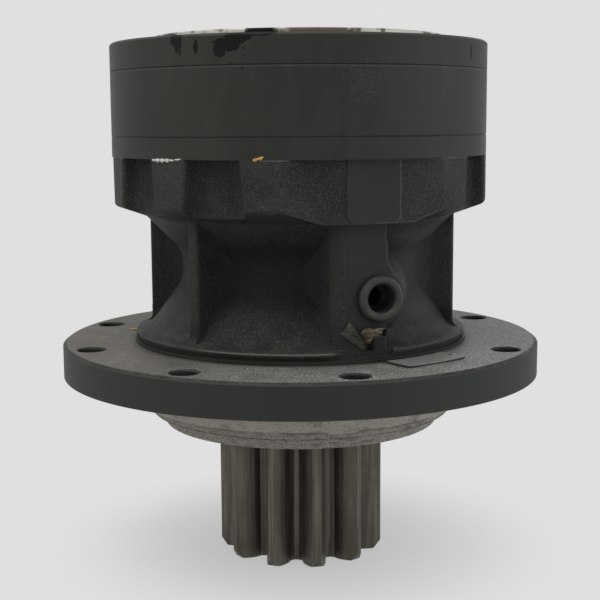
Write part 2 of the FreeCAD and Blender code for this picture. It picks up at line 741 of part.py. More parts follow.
def second_stage_ring_gear():
    """Lower ring gear: plain register at the bottom, internal teeth above it."""
    groove_z = CASING_H + RING2_PLAIN_H
    blank = lathe([
        (0, CASING_H),
        (RING_R, CASING_H),
        (RING_R, groove_z - WITNESS_GROOVE),
        (RING_R - WITNESS_GROOVE, groove_z),
        (RING_R, groove_z + WITNESS_GROOVE),
        (RING_R, RING1_Z),
        (0, RING1_Z),
    ])
    spaces = extruded([ring_tooth_wire(RING2_TEETH, MODULE2)], groove_z, RING1_Z + 1)
    register = disc(RING2_ROOT_R, CASING_H - 1, groove_z)
    dowels = [disc(DOWEL_R + SEAT_GAP, CASING_H - 1, RING1_Z + 1, at(BOLT_CIRCLE_R, angle))
              for angle in dowel_angles()]
    cutters = [spaces, register, seal_groove(STACK_SEAL_R, RING1_Z)]
    return blank.cut(cutters + stack_holes(CASING_H - 1, RING1_Z + 1) + dowels)


def first_stage_ring_gear():
    """Upper ring gear with the motor's raised pilot, bolt head pockets and tapped holes."""
    blank = lathe([
        (0, RING1_Z),
        (RING_R - WITNESS_GROOVE, RING1_Z),
        (RING_R, RING1_Z + WITNESS_GROOVE),
        (RING_R, STACK_TOP - RING_EDGE),
        (RING_R - RING_EDGE, STACK_TOP),
        (PILOT_R, STACK_TOP),
        (PILOT_R, STACK_TOP + PILOT_H - PILOT_CHAMFER),
        (PILOT_R - PILOT_CHAMFER, STACK_TOP + PILOT_H),
        (0, STACK_TOP + PILOT_H),
    ])
    spaces = extruded([ring_tooth_wire(RING1_TEETH, MODULE1)], RING1_Z - 1, STACK_TOP + PILOT_H + 1)
    seats = [disc(RING_BOLT_HEAD_R + HEAD_POCKET_GAP, BOLT_SEAT_Z, STACK_TOP + 1, at(BOLT_CIRCLE_R, angle))
             for angle in around(LOBES, LOBE_PHASE)]
    taps = [disc(MOTOR_HOLE_R, STACK_TOP - MOTOR_HOLE_DEPTH, STACK_TOP + 1, at(BOLT_CIRCLE_R, angle))
            for angle in motor_hole_angles()]
    dowels = [disc(DOWEL_R + SEAT_GAP, RING1_Z - 1, RING1_Z + DOWEL_BITE + 1, at(BOLT_CIRCLE_R, angle))
              for angle in dowel_angles()]
    return blank.cut([spaces] + stack_holes(RING1_Z - 1, BOLT_SEAT_Z + 1) + seats + taps + dowels)


def socket_screw(radius, head_r, head_h, socket, length, up=True):
    """Socket head screw standing on its seat at the origin, shank downwards."""
    head = disc(head_r, 0, head_h)
    flats = [at(socket / math.sqrt(3), angle) for angle in around(6)]
    hexagon = Part.makePolygon(flats + [flats[0]])
    screw = head.fuse(disc(radius, -length, 0)).cut(extruded([hexagon], head_h / 2, head_h + 1))
    if not up:
        screw.rotate(FreeCAD.Vector(0, 0, 0), FreeCAD.Vector(1, 0, 0), 180)
    return screw


def placed(shape, spots):
    """Copies of one shape at several places, kept as separate solids of one group."""
    copies = []
    for spot in spots:
        copy = shape.copy()
        copy.translate(spot)
        copies.append(copy)
    return Part.makeCompound(copies)


def ring_bolts():
    """Socket head bolts from the top ring through the stack into the casing's lobes."""
    length = BOLT_SEAT_Z - CASING_H + RING_BOLT_GRIP
    bolt = socket_screw(RING_BOLT_R, RING_BOLT_HEAD_R, RING_BOLT_HEAD_H, RING_BOLT_SOCKET, length)
    return placed(bolt, [at(BOLT_CIRCLE_R, angle, BOLT_SEAT_Z) for angle in around(LOBES, LOBE_PHASE)])


def dowel_pins():
    """Two long dowels that line the rings up with the casing."""
    pin = disc(DOWEL_R, CASING_H - DOWEL_BITE, RING1_Z + DOWEL_BITE)
    return placed(pin, [at(BOLT_CIRCLE_R, angle) for angle in dowel_angles()])


def port_adapter():
    """Threaded adapter with a rounded collar and a stepped bore."""
    face = PAD_DISTANCE + PORT_WASHER_T
    top = face + ADAPTER_COLLAR
    return port_axis_solid([
        (ADAPTER_OIL_R, PAD_DISTANCE - ADAPTER_THREAD_L),
        (ADAPTER_THREAD_R, PAD_DISTANCE - ADAPTER_THREAD_L),
        (ADAPTER_THREAD_R, face),
        (ADAPTER_R, face),
        (ADAPTER_R, top, ADAPTER_COLLAR_ROUND),
        (ADAPTER_BORE_R + ADAPTER_MOUTH, top),
        (ADAPTER_BORE_R, top - ADAPTER_MOUTH),
        (ADAPTER_BORE_R, top - ADAPTER_BORE_L),
        (ADAPTER_OIL_R, top - ADAPTER_BORE_L),
    ])


def port_washer():
    """Sealing washer between the pad and the adapter's collar."""
    inner = ADAPTER_THREAD_R + SEAT_GAP
    return port_axis_solid([
        (inner, PAD_DISTANCE),
        (PORT_WASHER_R, PAD_DISTANCE),
        (PORT_WASHER_R, PAD_DISTANCE + PORT_WASHER_T),
        (inner, PAD_DISTANCE + PORT_WASHER_T),
    ])


def cone_shape(bore_r, outer_r, width):
    """Mean radius, roller radius, half taper of a roller, and height of the common apex.

    Raceways and rollers are cones that share one apex on the bearing's axis.
    """
    tilt = math.radians(BEARING_TILT)
    mean_r = (bore_r + outer_r) / 2
    roller_r = ROLLER_SHARE * (outer_r - bore_r) / 2
    taper = math.atan(roller_r * math.sin(tilt) / mean_r)
    return mean_r, roller_r, taper, width / 2 - mean_r / math.tan(tilt)


def raceway_r(size, height, side):
    """Radius of the outer raceway (side 1) or the inner one (side -1) at a height from the small end."""
    mean_r, roller_r, taper, apex = cone_shape(*size)
    return (height - apex) * math.tan(math.radians(BEARING_TILT) + side * taper)


def stood(shape, z_low, width, large_end_down):
    """Bearing part moved to its height, turned over if its large end faces down."""
    if large_end_down:
        shape.rotate(FreeCAD.Vector(0, 0, 0), FreeCAD.Vector(1, 0, 0), 180)
        shape.translate(FreeCAD.Vector(0, 0, width))
    shape.translate(FreeCAD.Vector(0, 0, z_low))
    return shape


def bearing_outer_ring(bore_r, outer_r, width, z_low, large_end_down):
    """Cup of a tapered roller bearing."""
    size = (bore_r, outer_r, width)
    cup = lathe([(raceway_r(size, 0, 1), 0), (outer_r, 0), (outer_r, width), (raceway_r(size, width, 1), width)])
    return stood(cup, z_low, width, large_end_down)


def bearing_inner_ring(bore_r, outer_r, width, z_low, large_end_down):
    """Cone of a tapered roller bearing, with a guide lip at its large end."""
    seat = bore_r + SEAT_GAP
    low_r = raceway_r((bore_r, outer_r, width), 0, -1)
    lip_z = width - RACE_LIP_W
    high_r = raceway_r((bore_r, outer_r, width), lip_z, -1)
    cone = lathe([(seat, 0), (low_r, 0), (high_r, lip_z), (high_r + RACE_LIP, lip_z), (high_r + RACE_LIP, width),
                  (seat, width)])
    return stood(cone, z_low, width, large_end_down)


def tapered_rollers(bore_r, outer_r, width, gap):
    """Rollers between the raceways, smaller than the space by the gap; a negative gap grows them."""
    mean_r, roller_r, taper, apex = cone_shape(bore_r, outer_r, width)
    half = ROLLER_LENGTH_SHARE * width / 2 - min(gap, 0)
    rise = half * math.tan(taper)
    middle_r = roller_r / math.cos(taper) - gap
    roller = Part.makeCone(middle_r - rise, middle_r + rise, 2 * half, FreeCAD.Vector(0, 0, -half))
    roller.rotate(FreeCAD.Vector(0, 0, 0), FreeCAD.Vector(0, 1, 0), BEARING_TILT)
    roller.translate(FreeCAD.Vector(mean_r, 0, width / 2))
    return [turned(roller, angle) for angle in around(ROLLERS)]


def bearing_rollers(bore_r, outer_r, width, z_low, large_end_down):
    """Tapered rollers of one bearing as a group of separate solids."""
    rollers = tapered_rollers(bore_r, outer_r, width, RACE_GAP)
    return stood(Part.makeCompound(rollers), z_low, width, large_end_down)


def bearing_cage(bore_r, outer_r, width, z_low, large_end_down):
    """Conical cage on the rollers' centre line, with a window round each roller."""
    mean_r = (bore_r + outer_r) / 2
    half = width / 2 - CAGE_END
    lean = half * math.tan(math.radians(BEARING_TILT))
    low, high = width / 2 - half, width / 2 + half
    wall = lathe([
        (mean_r - lean - CAGE_T / 2, low),
        (mean_r - lean + CAGE_T / 2, low),
        (mean_r + lean + CAGE_T / 2, high),
        (mean_r + lean - CAGE_T / 2, high),
    ])
    cage = wall.cut(tapered_rollers(bore_r, outer_r, width, RACE_GAP - CAGE_GAP))
    return stood(cage, z_low, width, large_end_down)


def seal_cover():
    """Cover under the spigot: register against the lower cup, flange, nose and two seal pockets."""
    register_r = LOWER_BEARING_OD_R - SEAT_GAP
    cover = lathe([
        (COVER_BORE_R, COVER_BOTTOM + DUST_SEAL_T),
        (DUST_SEAL_R + SEAT_GAP, COVER_BOTTOM + DUST_SEAL_T),
        (DUST_SEAL_R + SEAT_GAP, COVER_BOTTOM),
        (COVER_NOSE_R, COVER_BOTTOM),
        (COVER_NOSE_R, COVER_BOTTOM + COVER_NOSE_H),
        (COVER_FLANGE_R, COVER_BOTTOM + COVER_NOSE_H),
        (COVER_FLANGE_R, -SPIGOT_H),
        (register_r, -SPIGOT_H),
        (register_r, LOWER_BEARING_Z - FACE_GAP),
        (OIL_SEAL_R + SEAT_GAP, LOWER_BEARING_Z - FACE_GAP),
        (OIL_SEAL_R + SEAT_GAP, oil_seal_z()),
        (COVER_BORE_R, oil_seal_z()),
    ])
    cutters = [seal_groove(COVER_SEAL_R, -SPIGOT_H)]
    for angle in around(COVER_SCREWS):
        spot = at(COVER_SCREW_CIRCLE_R, angle)
        sink = COVER_BOTTOM + COVER_SCREW_SINK + COVER_SCREW_HEAD_H
        cutters.append(disc(COVER_SCREW_R + RING_HOLE_GAP, COVER_BOTTOM - 1, 1 - SPIGOT_H, spot))
        cutters.append(disc(COVER_SCREW_HEAD_R + RING_HOLE_GAP, COVER_BOTTOM - 1, sink, spot))
    return cover.cut(cutters)


def oil_seal_z():
    """Bottom of the oil seal, just above the mounting joint of the cover."""
    return -SPIGOT_H + FACE_GAP


def cover_screws():
    """Socket head screws that hold the seal cover from below."""
    seat = COVER_BOTTOM + COVER_SCREW_SINK + COVER_SCREW_HEAD_H
    length = COVER_SCREW_BITE - SPIGOT_H - seat
    screw = socket_screw(COVER_SCREW_R, COVER_SCREW_HEAD_R, COVER_SCREW_HEAD_H, COVER_SCREW_SOCKET, length,
                         up=False)
    return placed(screw, [at(COVER_SCREW_CIRCLE_R, angle, seat) for angle in around(COVER_SCREWS)])


def oil_seal():
    """Radial shaft seal on the wear sleeve."""
    return ring(SLEEVE_R + SEAL_GAP, OIL_SEAL_R, oil_seal_z(), oil_seal_z() + OIL_SEAL_T)


def dust_seal():
    """Outer dust seal pressed into the cover's nose."""
    return ring(SLEEVE_R + SEAL_GAP, DUST_SEAL_R, COVER_BOTTOM, COVER_BOTTOM + DUST_SEAL_T - FACE_GAP)


def seal_sleeve():
    """Hardened wear sleeve on the shaft journal, between the pinion's collar and the lower bearing."""
    return ring(JOURNAL_R + SEAT_GAP, SLEEVE_R, COLLAR_TOP, LOWER_BEARING_Z)


def spline_wire(grow=0.0):
    """Output spline, or with growth the matching bore form."""
    pitch_r = SPLINE_TEETH * SPLINE_MODULE / 2
    return gear_outline(SPLINE_TEETH, SPLINE_MODULE, pitch_r - SPLINE_DEDENDUM * SPLINE_MODULE + grow,
                        pitch_r + SPLINE_ADDENDUM * SPLINE_MODULE + grow, 0.0, TOOTH_THINNING - 2 * grow, steps=1)


def pinion_shaft():
    """Output pinion cut on its shaft, with bearing seats, nut thread and carrier spline."""
    teeth_wire = gear_outline(PINION_TEETH, PINION_MODULE, PINION_ROOT_R, PINION_TIP_R, PINION_PHASE, 0.0,
                              shift=PINION_SHIFT, steps=PINION_FLANK_STEPS, root_round=PINION_ROOT_ROUND)
    teeth = extruded([teeth_wire], -PINION_END, PINION_BACK_Z)
    envelope = lathe([
        (0, -PINION_END),
        (PINION_TIP_R - PINION_CHAMFER_R, -PINION_END),
        (PINION_TIP_R + 1, PINION_CHAMFER_Z - PINION_END),
        (PINION_TIP_R + 1, PINION_BACK_Z),
        (0, PINION_BACK_Z),
    ])
    shaft = lathe([
        (0, PINION_BACK_Z - 1),
        (PINION_ROOT_R - 1, PINION_BACK_Z - 1),
        (PINION_ROOT_R - 1, PINION_BACK_Z),
        (COLLAR_R, PINION_BACK_Z),
        (COLLAR_R, COLLAR_TOP),
        (JOURNAL_R, COLLAR_TOP),
        (JOURNAL_R, LOWER_BEARING_Z),
        (LOWER_SEAT_R, LOWER_BEARING_Z),
        (LOWER_SEAT_R, LOWER_BEARING_TOP),
        (LOWER_SEAT_R - SHAFT_RELIEF, LOWER_BEARING_TOP),
        (LOWER_SEAT_R - SHAFT_RELIEF, UPPER_BEARING_Z),
        (UPPER_SEAT_R, UPPER_BEARING_Z),
        (UPPER_SEAT_R, UPPER_BEARING_TOP),
        (THREAD_R, UPPER_BEARING_TOP),
        (THREAD_R, NUT_Z + NUT_T + THREAD_RUNOUT),
        (0, NUT_Z + NUT_T + THREAD_RUNOUT),
    ])
    spline = extruded([spline_wire()], NUT_Z + NUT_T, SHAFT_TOP)
    centre = Part.makeCone(PINION_CENTRE_R, 0, PINION_CENTRE_DEPTH, FreeCAD.Vector(0, 0, -PINION_END))
    taps = [disc(END_SCREW_R + SEAT_GAP, SHAFT_TOP - END_SCREW_L, SHAFT_TOP + 1, at(END_SCREW_CIRCLE_R, angle))
            for angle in around(END_SCREWS)]
    body = teeth.common(envelope).fuse(shaft).fuse(spline)
    return body.cut([centre] + taps).removeSplitter()


def bearing_spacer():
    """Tube that spaces the two bearing cones on the shaft."""
    inner = LOWER_SEAT_R + SEAT_GAP
    return ring(inner, inner + SPACER_WALL, LOWER_BEARING_TOP, UPPER_BEARING_Z)


def shaft_nut():
    """Slotted round nut that clamps both bearing cones."""
    nut = ring(THREAD_R + SEAT_GAP, NUT_R, NUT_Z, NUT_Z + NUT_T)
    slot = Part.makeBox(2 * NUT_SLOT_DEPTH, NUT_SLOT_W, NUT_T + 2,
                        FreeCAD.Vector(NUT_R - NUT_SLOT_DEPTH, -NUT_SLOT_W / 2, NUT_Z - 1))
    return nut.cut([turned(slot, angle) for angle in around(NUT_SLOTS)])


def lock_washer():
    """Washer under the nut with one tab bent up into a nut slot."""
    washer = ring(THREAD_R + SEAT_GAP, NUT_R, UPPER_BEARING_TOP, NUT_Z)
    tab = Part.makeBox(LOCK_TAB_T, LOCK_TAB_W, LOCK_WASHER_T + LOCK_TAB_H,
                       FreeCAD.Vector(NUT_R - LOCK_TAB_T - LOCK_TAB_INSET, -LOCK_TAB_W / 2, UPPER_BEARING_TOP))
    return washer.fuse(tab)


def end_plate():
    """Plate screwed to the shaft's end that keeps the second stage carrier on its spline."""
    plate = disc(END_PLATE_R, SHAFT_TOP, SHAFT_TOP + END_PLATE_T)
    cutters = []
    for angle in around(END_SCREWS):
        spot = at(END_SCREW_CIRCLE_R, angle)
        cutters.append(disc(END_SCREW_R + RING_HOLE_GAP, SHAFT_TOP - 1, SHAFT_TOP + END_PLATE_T + 1, spot))
        cutters.append(countersink(SEAT_GAP, spot))
    return plate.cut(cutters)


def countersink(gap, spot):
    """Cone of a countersunk head that ends flush with the end plate."""
    rise = END_SCREW_HEAD_R - END_SCREW_R
    return Part.makeCone(END_SCREW_R + gap, END_SCREW_HEAD_R + gap, rise,
                         FreeCAD.Vector(spot.x, spot.y, SHAFT_TOP + END_PLATE_T - rise))


def end_screws():
    """Countersunk screws of the end plate."""
    screws = []
    for angle in around(END_SCREWS):
        spot = at(END_SCREW_CIRCLE_R, angle)
        shank = disc(END_SCREW_R, SHAFT_TOP - END_SCREW_L + 1, SHAFT_TOP + END_PLATE_T, spot)
        screws.append(shank.fuse(countersink(0.0, spot)))
    return Part.makeCompound(screws)


def planet_spots(centres, start):
    """Angles and axes of the planets of one stage."""
    return [(angle, at(centres, angle)) for angle in around(PLANETS, start)]


def second_stage_carrier():
    """One piece carrier: splined hub, two plates and the webs left between the planet windows."""
    tip_r = MODULE2 * (PLANET2_TEETH / 2 + 1)
    eye_r = MODULE2 * (SUN2_TEETH / 2 + 1) + CARRIER2_EYE_GAP
    window_top = PLANET2_Z + PLANET2_W + SIDE_GAP
    body = disc(CARRIER2_R, CARRIER2_PLATE_Z, CARRIER2_TOP).fuse(disc(CARRIER2_HUB_R, HUB2_Z, CARRIER2_PLATE_Z))
    cutters = [
        disc(eye_r, PLANET2_Z - SIDE_GAP, CARRIER2_TOP + 1),
        disc(END_PLATE_R + END_PLATE_GAP, SHAFT_TOP, PLANET2_Z),
        extruded([spline_wire(SEAT_GAP)], HUB2_Z - 1, SHAFT_TOP + 1),
    ]
    lock_z = CARRIER2_PLATE_Z + CARRIER2_LOWER_T / 2
    for angle, spot in planet_spots(CENTRES2, PLANET2_START):
        cutters.append(disc(tip_r + CARRIER2_WINDOW_GAP, PLANET2_Z - SIDE_GAP, window_top, spot))
        cutters.append(disc(PIN2_R + SEAT_GAP, CARRIER2_PLATE_Z - 1, CARRIER2_TOP + 1, spot))
        cutters.append(turned(radial_pin(SEAT_GAP, lock_z), angle))
    return body.cut(cutters)


def radial_pin(gap, z):
    """Locking pin driven from the carrier's rim into a planet pin, on the +X side."""
    start = CENTRES2 + PIN2_R - PIN_LOCK_BITE
    length = CARRIER2_R - start + (1 if gap else 0)
    return Part.makeCylinder(PIN_LOCK_R + gap, length, FreeCAD.Vector(start, 0, z), FreeCAD.Vector(1, 0, 0))


def second_stage_pins():
    """Planet pins through both plates, drilled for their locking pins."""
    lock_z = CARRIER2_PLATE_Z + CARRIER2_LOWER_T / 2
    pins = []
    for angle, spot in planet_spots(CENTRES2, PLANET2_START):
        pin = disc(PIN2_R, CARRIER2_PLATE_Z, CARRIER2_TOP, spot)
        pins.append(pin.cut(turned(radial_pin(SEAT_GAP, lock_z), angle)))
    return Part.makeCompound(pins)


def second_stage_pin_locks():
    """Locking pins in the rim of the second stage carrier."""
    lock_z = CARRIER2_PLATE_Z + CARRIER2_LOWER_T / 2
    return Part.makeCompound([turned(radial_pin(0.0, lock_z), angle) for angle in around(PLANETS, PLANET2_START)])


def planet(ring_teeth, planet_teeth, module, bore_r, width, z_low, angle, spot):
    """Planet gear in mesh with its ring and sun."""
    pitch_r = planet_teeth * module / 2
    phase = planet_phase(angle, ring_teeth, planet_teeth)
    wire = gear_outline(planet_teeth, module, pitch_r - DEDENDUM * module, pitch_r + module, phase, TOOTH_THINNING)
    return extruded([wire, circle_wire(bore_r)], z_low, z_low + width, spot)


def bush(pin_r, wall, width, z_low, spot):
    """Bearing bush pressed into a planet, running on its pin."""
    return ring(pin_r + RUN_GAP, pin_r + wall - SEAT_GAP, z_low, z_low + width, spot)


def side_washers(pin_r, heights, spots):
    """Thin washers on the planet pins, lying on the carrier's faces."""
    inner = pin_r + SEAT_GAP
    return Part.makeCompound([ring(inner, inner + SIDE_WASHER_W, z, z + SIDE_WASHER_T, spot)
                              for angle, spot in spots for z in heights])


def second_stage_washers():
    """Washers below and above each second stage planet."""
    below = PLANET2_Z - SIDE_GAP
    above = PLANET2_Z + PLANET2_W + SIDE_GAP - SIDE_WASHER_T
    return side_washers(PIN2_R, [below, above], planet_spots(CENTRES2, PLANET2_START))


def first_stage_washers():
    """Washer below each first stage planet."""
    return side_washers(PIN1_R, [CARRIER1_TOP], planet_spots(CENTRES1, PLANET1_START))


def second_stage_sun():
    """Long sun gear whose upper end couples into the first stage carrier."""
    phase = sun_phase(PLANET2_START, RING2_TEETH, PLANET2_TEETH, SUN2_TEETH)
    return extruded([sun_wire(SUN2_TEETH, MODULE2, phase)], PLANET2_Z - SIDE_GAP, CARRIER1_TOP)


def sun_thrust_disc():
    """Wear disc between the shaft's end plate and the second stage sun."""
    top = PLANET2_Z - SIDE_GAP - END_GAP / 2
    return disc(THRUST_DISC_R, top - THRUST_DISC_T, top)


def first_stage_carrier():
    """Plate that couples to the second stage sun and carries the first stage pins."""
    phase = sun_phase(PLANET2_START, RING2_TEETH, PLANET2_TEETH, SUN2_TEETH)
    wires = [circle_wire(CARRIER1_R), sun_wire(SUN2_TEETH, MODULE2, phase, grow=RUN_GAP)]
    plate = extruded(wires, CARRIER1_Z, CARRIER1_TOP)
    return plate.cut([disc(PIN1_R + SEAT_GAP, CARRIER1_Z - 1, CARRIER1_TOP + 1, spot)
                      for angle, spot in planet_spots(CENTRES1, PLANET1_START)])


def first_stage_pins():
    """Cantilevered planet pins with a clip groove near the top."""
    clip_z = PLANET1_Z + PLANET1_W + FACE_GAP
    pins = []
    for angle, spot in planet_spots(CENTRES1, PLANET1_START):
        pin = disc(PIN1_R, CARRIER1_Z, clip_z + PIN_CLIP_T + PIN_CLIP_LAND, spot)
        groove = ring(PIN1_R - PIN_CLIP_GROOVE, PIN1_R + 1, clip_z, clip_z + PIN_CLIP_T, spot)
        pins.append(pin.cut(groove))
    return Part.makeCompound(pins)


def first_stage_clips():
    """Clips that keep the first stage planets on their pins."""
    clip_z = PLANET1_Z + PLANET1_W + FACE_GAP
    return Part.makeCompound([
        ring(PIN1_R - PIN_CLIP_GROOVE + SEAT_GAP, PIN_CLIP_R, clip_z + SEAT_GAP, clip_z + PIN_CLIP_T - SEAT_GAP, spot)
        for angle, spot in planet_spots(CENTRES1, PLANET1_START)])


def stage_thrust_ring():
    """Wear ring between the two carriers."""
    return ring(THRUST_RING_IN_R, THRUST_RING_OUT_R, CARRIER2_TOP, CARRIER2_TOP + THRUST_RING_T)


def input_sun_disc():
    """Wear disc between the second stage sun and the input sun."""
    return disc(THRUST_DISC_R, CARRIER1_TOP, CARRIER1_TOP + THRUST_DISC_T)


def first_stage_sun():
    """Input sun gear with a splined bore for the motor's shaft."""
    phase = sun_phase(PLANET1_START, RING1_TEETH, PLANET1_TEETH, SUN1_TEETH)
    low = CARRIER1_TOP + THRUST_DISC_T + END_GAP
    high = STACK_TOP + PILOT_H - SUN1_TOP_GAP
    gear = extruded([sun_wire(SUN1_TEETH, MODULE1, phase), circle_wire(INPUT_BORE_R)], low, high)
    groove = Part.makeBox(2 * INPUT_GROOVE_DEPTH, INPUT_GROOVE_W, high - low + 2,
                          FreeCAD.Vector(INPUT_BORE_R - INPUT_GROOVE_DEPTH, -INPUT_GROOVE_W / 2, low - 1))
    return gear.cut([turned(groove, angle) for angle in around(INPUT_GROOVES)])


def build():
    """All nodes by name."""
    lower = (LOWER_SEAT_R, LOWER_BEARING_OD_R, LOWER_BEARING_W, LOWER_BEARING_Z, True)
    upper = (UPPER_SEAT_R, UPPER_BEARING_OD_R, UPPER_BEARING_W, UPPER_BEARING_Z, False)
    nodes = {
        "casing": casing(),
        "second_stage_ring_gear": second_stage_ring_gear(),
        "first_stage_ring_gear": first_stage_ring_gear(),
        "ring_bolts": ring_bolts(),
        "dowel_pins": dowel_pins(),
        "port_adapter": port_adapter(),
        "port_washer": port_washer(),
        "seal_cover": seal_cover(),
        "cover_screws": cover_screws(),
        "casing_o_ring": face_o_ring(STACK_SEAL_R, CASING_H),
        "ring_o_ring": face_o_ring(STACK_SEAL_R, RING1_Z),
        "cover_o_ring": face_o_ring(COVER_SEAL_R, -SPIGOT_H),
        "oil_seal": oil_seal(),
        "dust_seal": dust_seal(),
        "lower_bearing_outer_ring": bearing_outer_ring(*lower),
        "lower_bearing_rollers": bearing_rollers(*lower),
        "lower_bearing_cage": bearing_cage(*lower),
        "lower_bearing_inner_ring": bearing_inner_ring(*lower),
        "upper_bearing_outer_ring": bearing_outer_ring(*upper),
        "upper_bearing_rollers": bearing_rollers(*upper),
        "upper_bearing_cage": bearing_cage(*upper),
        "upper_bearing_inner_ring": bearing_inner_ring(*upper),
        "pinion_shaft": pinion_shaft(),
        "seal_sleeve": seal_sleeve(),
        "bearing_spacer": bearing_spacer(),
        "nut_lock_washer": lock_washer(),
        "shaft_nut": shaft_nut(),
        "shaft_end_plate": end_plate(),
        "end_plate_screws": end_screws(),
        "second_stage_carrier": second_stage_carrier(),
        "second_stage_pins": second_stage_pins(),
        "second_stage_pin_locks": second_stage_pin_locks(),
        "second_stage_thrust_washers": second_stage_washers(),
        "sun_thrust_disc": sun_thrust_disc(),
        "second_stage_sun": second_stage_sun(),
        "stage_thrust_ring": stage_thrust_ring(),
        "first_stage_carrier": first_stage_carrier(),
        "first_stage_pins": first_stage_pins(),
        "first_stage_clips": first_stage_clips(),
        "first_stage_thrust_washers": first_stage_washers(),
        "input_sun_disc": input_sun_disc(),
        "first_stage_sun": first_stage_sun(),
    }
    for i, (angle, spot) in enumerate(planet_spots(CENTRES2, PLANET2_START)):
        letter = "abc"[i]
        bore = PIN2_R + BUSH2_T
        nodes["second_stage_planet_" + letter] = planet(
            RING2_TEETH, PLANET2_TEETH, MODULE2, bore, PLANET2_W, PLANET2_Z, angle, spot)
        nodes["second_stage_bush_" + letter] = bush(PIN2_R, BUSH2_T, PLANET2_W, PLANET2_Z, spot)
    for i, (angle, spot) in enumerate(planet_spots(CENTRES1, PLANET1_START)):
        letter = "abc"[i]
        bore = PIN1_R + BUSH1_T
        nodes["first_stage_planet_" + letter] = planet(
            RING1_TEETH, PLANET1_TEETH, MODULE1, bore, PLANET1_W, PLANET1_Z, angle, spot)
        nodes["first_stage_bush_" + letter] = bush(PIN1_R, BUSH1_T, PLANET1_W, PLANET1_Z, spot)
    return nodes


os.makedirs("parts", exist_ok=True)
for name, shape in build().items():
    shape.exportStep(os.path.join("parts", name + ".step"))
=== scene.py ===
import math

import bpy
import numpy as np
from mathutils import Matrix, Vector


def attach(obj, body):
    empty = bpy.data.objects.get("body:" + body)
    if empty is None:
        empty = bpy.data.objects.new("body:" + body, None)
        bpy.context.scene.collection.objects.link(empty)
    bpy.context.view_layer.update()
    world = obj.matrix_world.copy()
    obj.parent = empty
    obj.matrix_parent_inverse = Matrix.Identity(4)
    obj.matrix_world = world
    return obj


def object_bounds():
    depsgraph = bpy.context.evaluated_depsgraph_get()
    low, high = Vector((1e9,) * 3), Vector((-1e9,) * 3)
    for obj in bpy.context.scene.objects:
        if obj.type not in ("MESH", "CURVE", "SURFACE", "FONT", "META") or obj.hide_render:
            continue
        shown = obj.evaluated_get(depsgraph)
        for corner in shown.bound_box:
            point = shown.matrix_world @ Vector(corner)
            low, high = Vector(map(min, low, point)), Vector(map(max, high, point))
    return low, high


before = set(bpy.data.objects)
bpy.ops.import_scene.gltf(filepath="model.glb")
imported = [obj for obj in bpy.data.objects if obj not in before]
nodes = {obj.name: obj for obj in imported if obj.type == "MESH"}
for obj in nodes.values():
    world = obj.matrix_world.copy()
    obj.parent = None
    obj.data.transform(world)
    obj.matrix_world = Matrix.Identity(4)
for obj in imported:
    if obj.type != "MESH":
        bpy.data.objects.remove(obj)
cad_box = [list(corner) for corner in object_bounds()]


# The gearbox's casting: flange, skirt, ribs and lobed head in one grey iron casting.
# Sand-cast and painted thin dark grey-green; the pad's faces are milled, the flange top has worn to
# speckled grey dust, and the spigot and mounting face were turned and left bare.
CAST_PAINT = (0.029, 0.030, 0.0272, 1)
CAST_PAINT_DARK = (0.0150, 0.0155, 0.0140, 1)
CAST_FLECK = (0.092, 0.094, 0.082, 1)
CAST_DUST_AND_HIGHLIGHT = (0.130, 0.126, 0.108, 1)
# Pale of the painted highlight on the foot's upper edge, and of the chips at the joint.
CAST_HIGHLIGHT_AND_CHIPS = (0.235, 0.228, 0.198, 1)
# Painted shade for the deep waist between the ribs and under the head.
CAST_PAINTED_SHADE = (0.010, 0.0105, 0.0105, 1)
TURNED_PAINT = (0.034, 0.0365, 0.0315, 1)
MILLED_PAINT = (0.032, 0.0330, 0.0295, 1)
# Painted shade in the groove and on the wall under the foot.
GROOVE_SHADE = (0.022, 0.020, 0.017, 1)
WORN_TOP_LIGHT = (0.430, 0.425, 0.396, 1)
WORN_TOP_DARK = (0.062, 0.060, 0.054, 1)
WORN_TOP_RUST = (0.108, 0.092, 0.075, 1)
WORN_STEP = (0.085, 0.082, 0.066, 1)
BARE_IRON = (0.475, 0.430, 0.388, 1)
BARE_IRON_DARK = (0.190, 0.172, 0.150, 1)
BARE_IRON_SHADE = (0.060, 0.052, 0.044, 1)
CAST_ROUGHNESS = (0.45, 0.70)
CAST_SHEEN = 0.22

# Places on the casting, in metres.
FLANGE_TOP_Z = 0.0325
FLANGE_RIM_R = 0.2365
SHOULDER_TOP_Z = 0.0357
FOOT_Z = 0.0393
FOOT_TOP_Z = 0.0438
HEAD_TOP_Z = 0.2140
HEAD_R = 0.1840
PAD_TURN = math.radians(-70.75)
PAD_OUT = (math.cos(PAD_TURN), math.sin(PAD_TURN), 0)
PAD_SIDE = (-math.sin(PAD_TURN), math.cos(PAD_TURN), 0)
PAD_DISTANCE = 0.1600
PAD_HEAD_DISTANCE = 0.1767
X_AXIS = (1, 0, 0)
Y_AXIS = (0, 1, 0)
Z_AXIS = (0, 0, 1)

# A noise has its lumps' size in metres, its detail and its roughness.
# A cloud has the same and then the two levels between which it rises.
CAST_LUMPS = (0.0017, 3.0, 0.60)
CAST_PATCHES = (0.045, 3.0, 0.55)
CAST_FINE = (0.0012, 2.0, 0.55)
CAST_SWELL = (0.014, 2.0, 0.55)
DUST_CLOUDS = (0.018, 3.0, 0.55, 0.35, 0.75)
JOINT_CHIPS = (0.010, 3.0, 0.55, 0.45, 0.60)
WORN_CLUMPS = (0.010, 3.0, 0.55)
WORN_SPECKS = (0.0019, 3.0, 0.75)
RUST_CLOUDS = (0.030, 3.0, 0.55, 0.05, 0.50)
DIRT_CLOUDS = (0.050, 3.0, 0.55, 0.44, 0.66)
IRON_PITS = (0.0021, 3.0, 0.75, 0.47, 0.66)
IRON_STAINS = (0.022, 3.0, 0.55)
STAIN_STRETCH = (1.0, 1.0, 3.0)

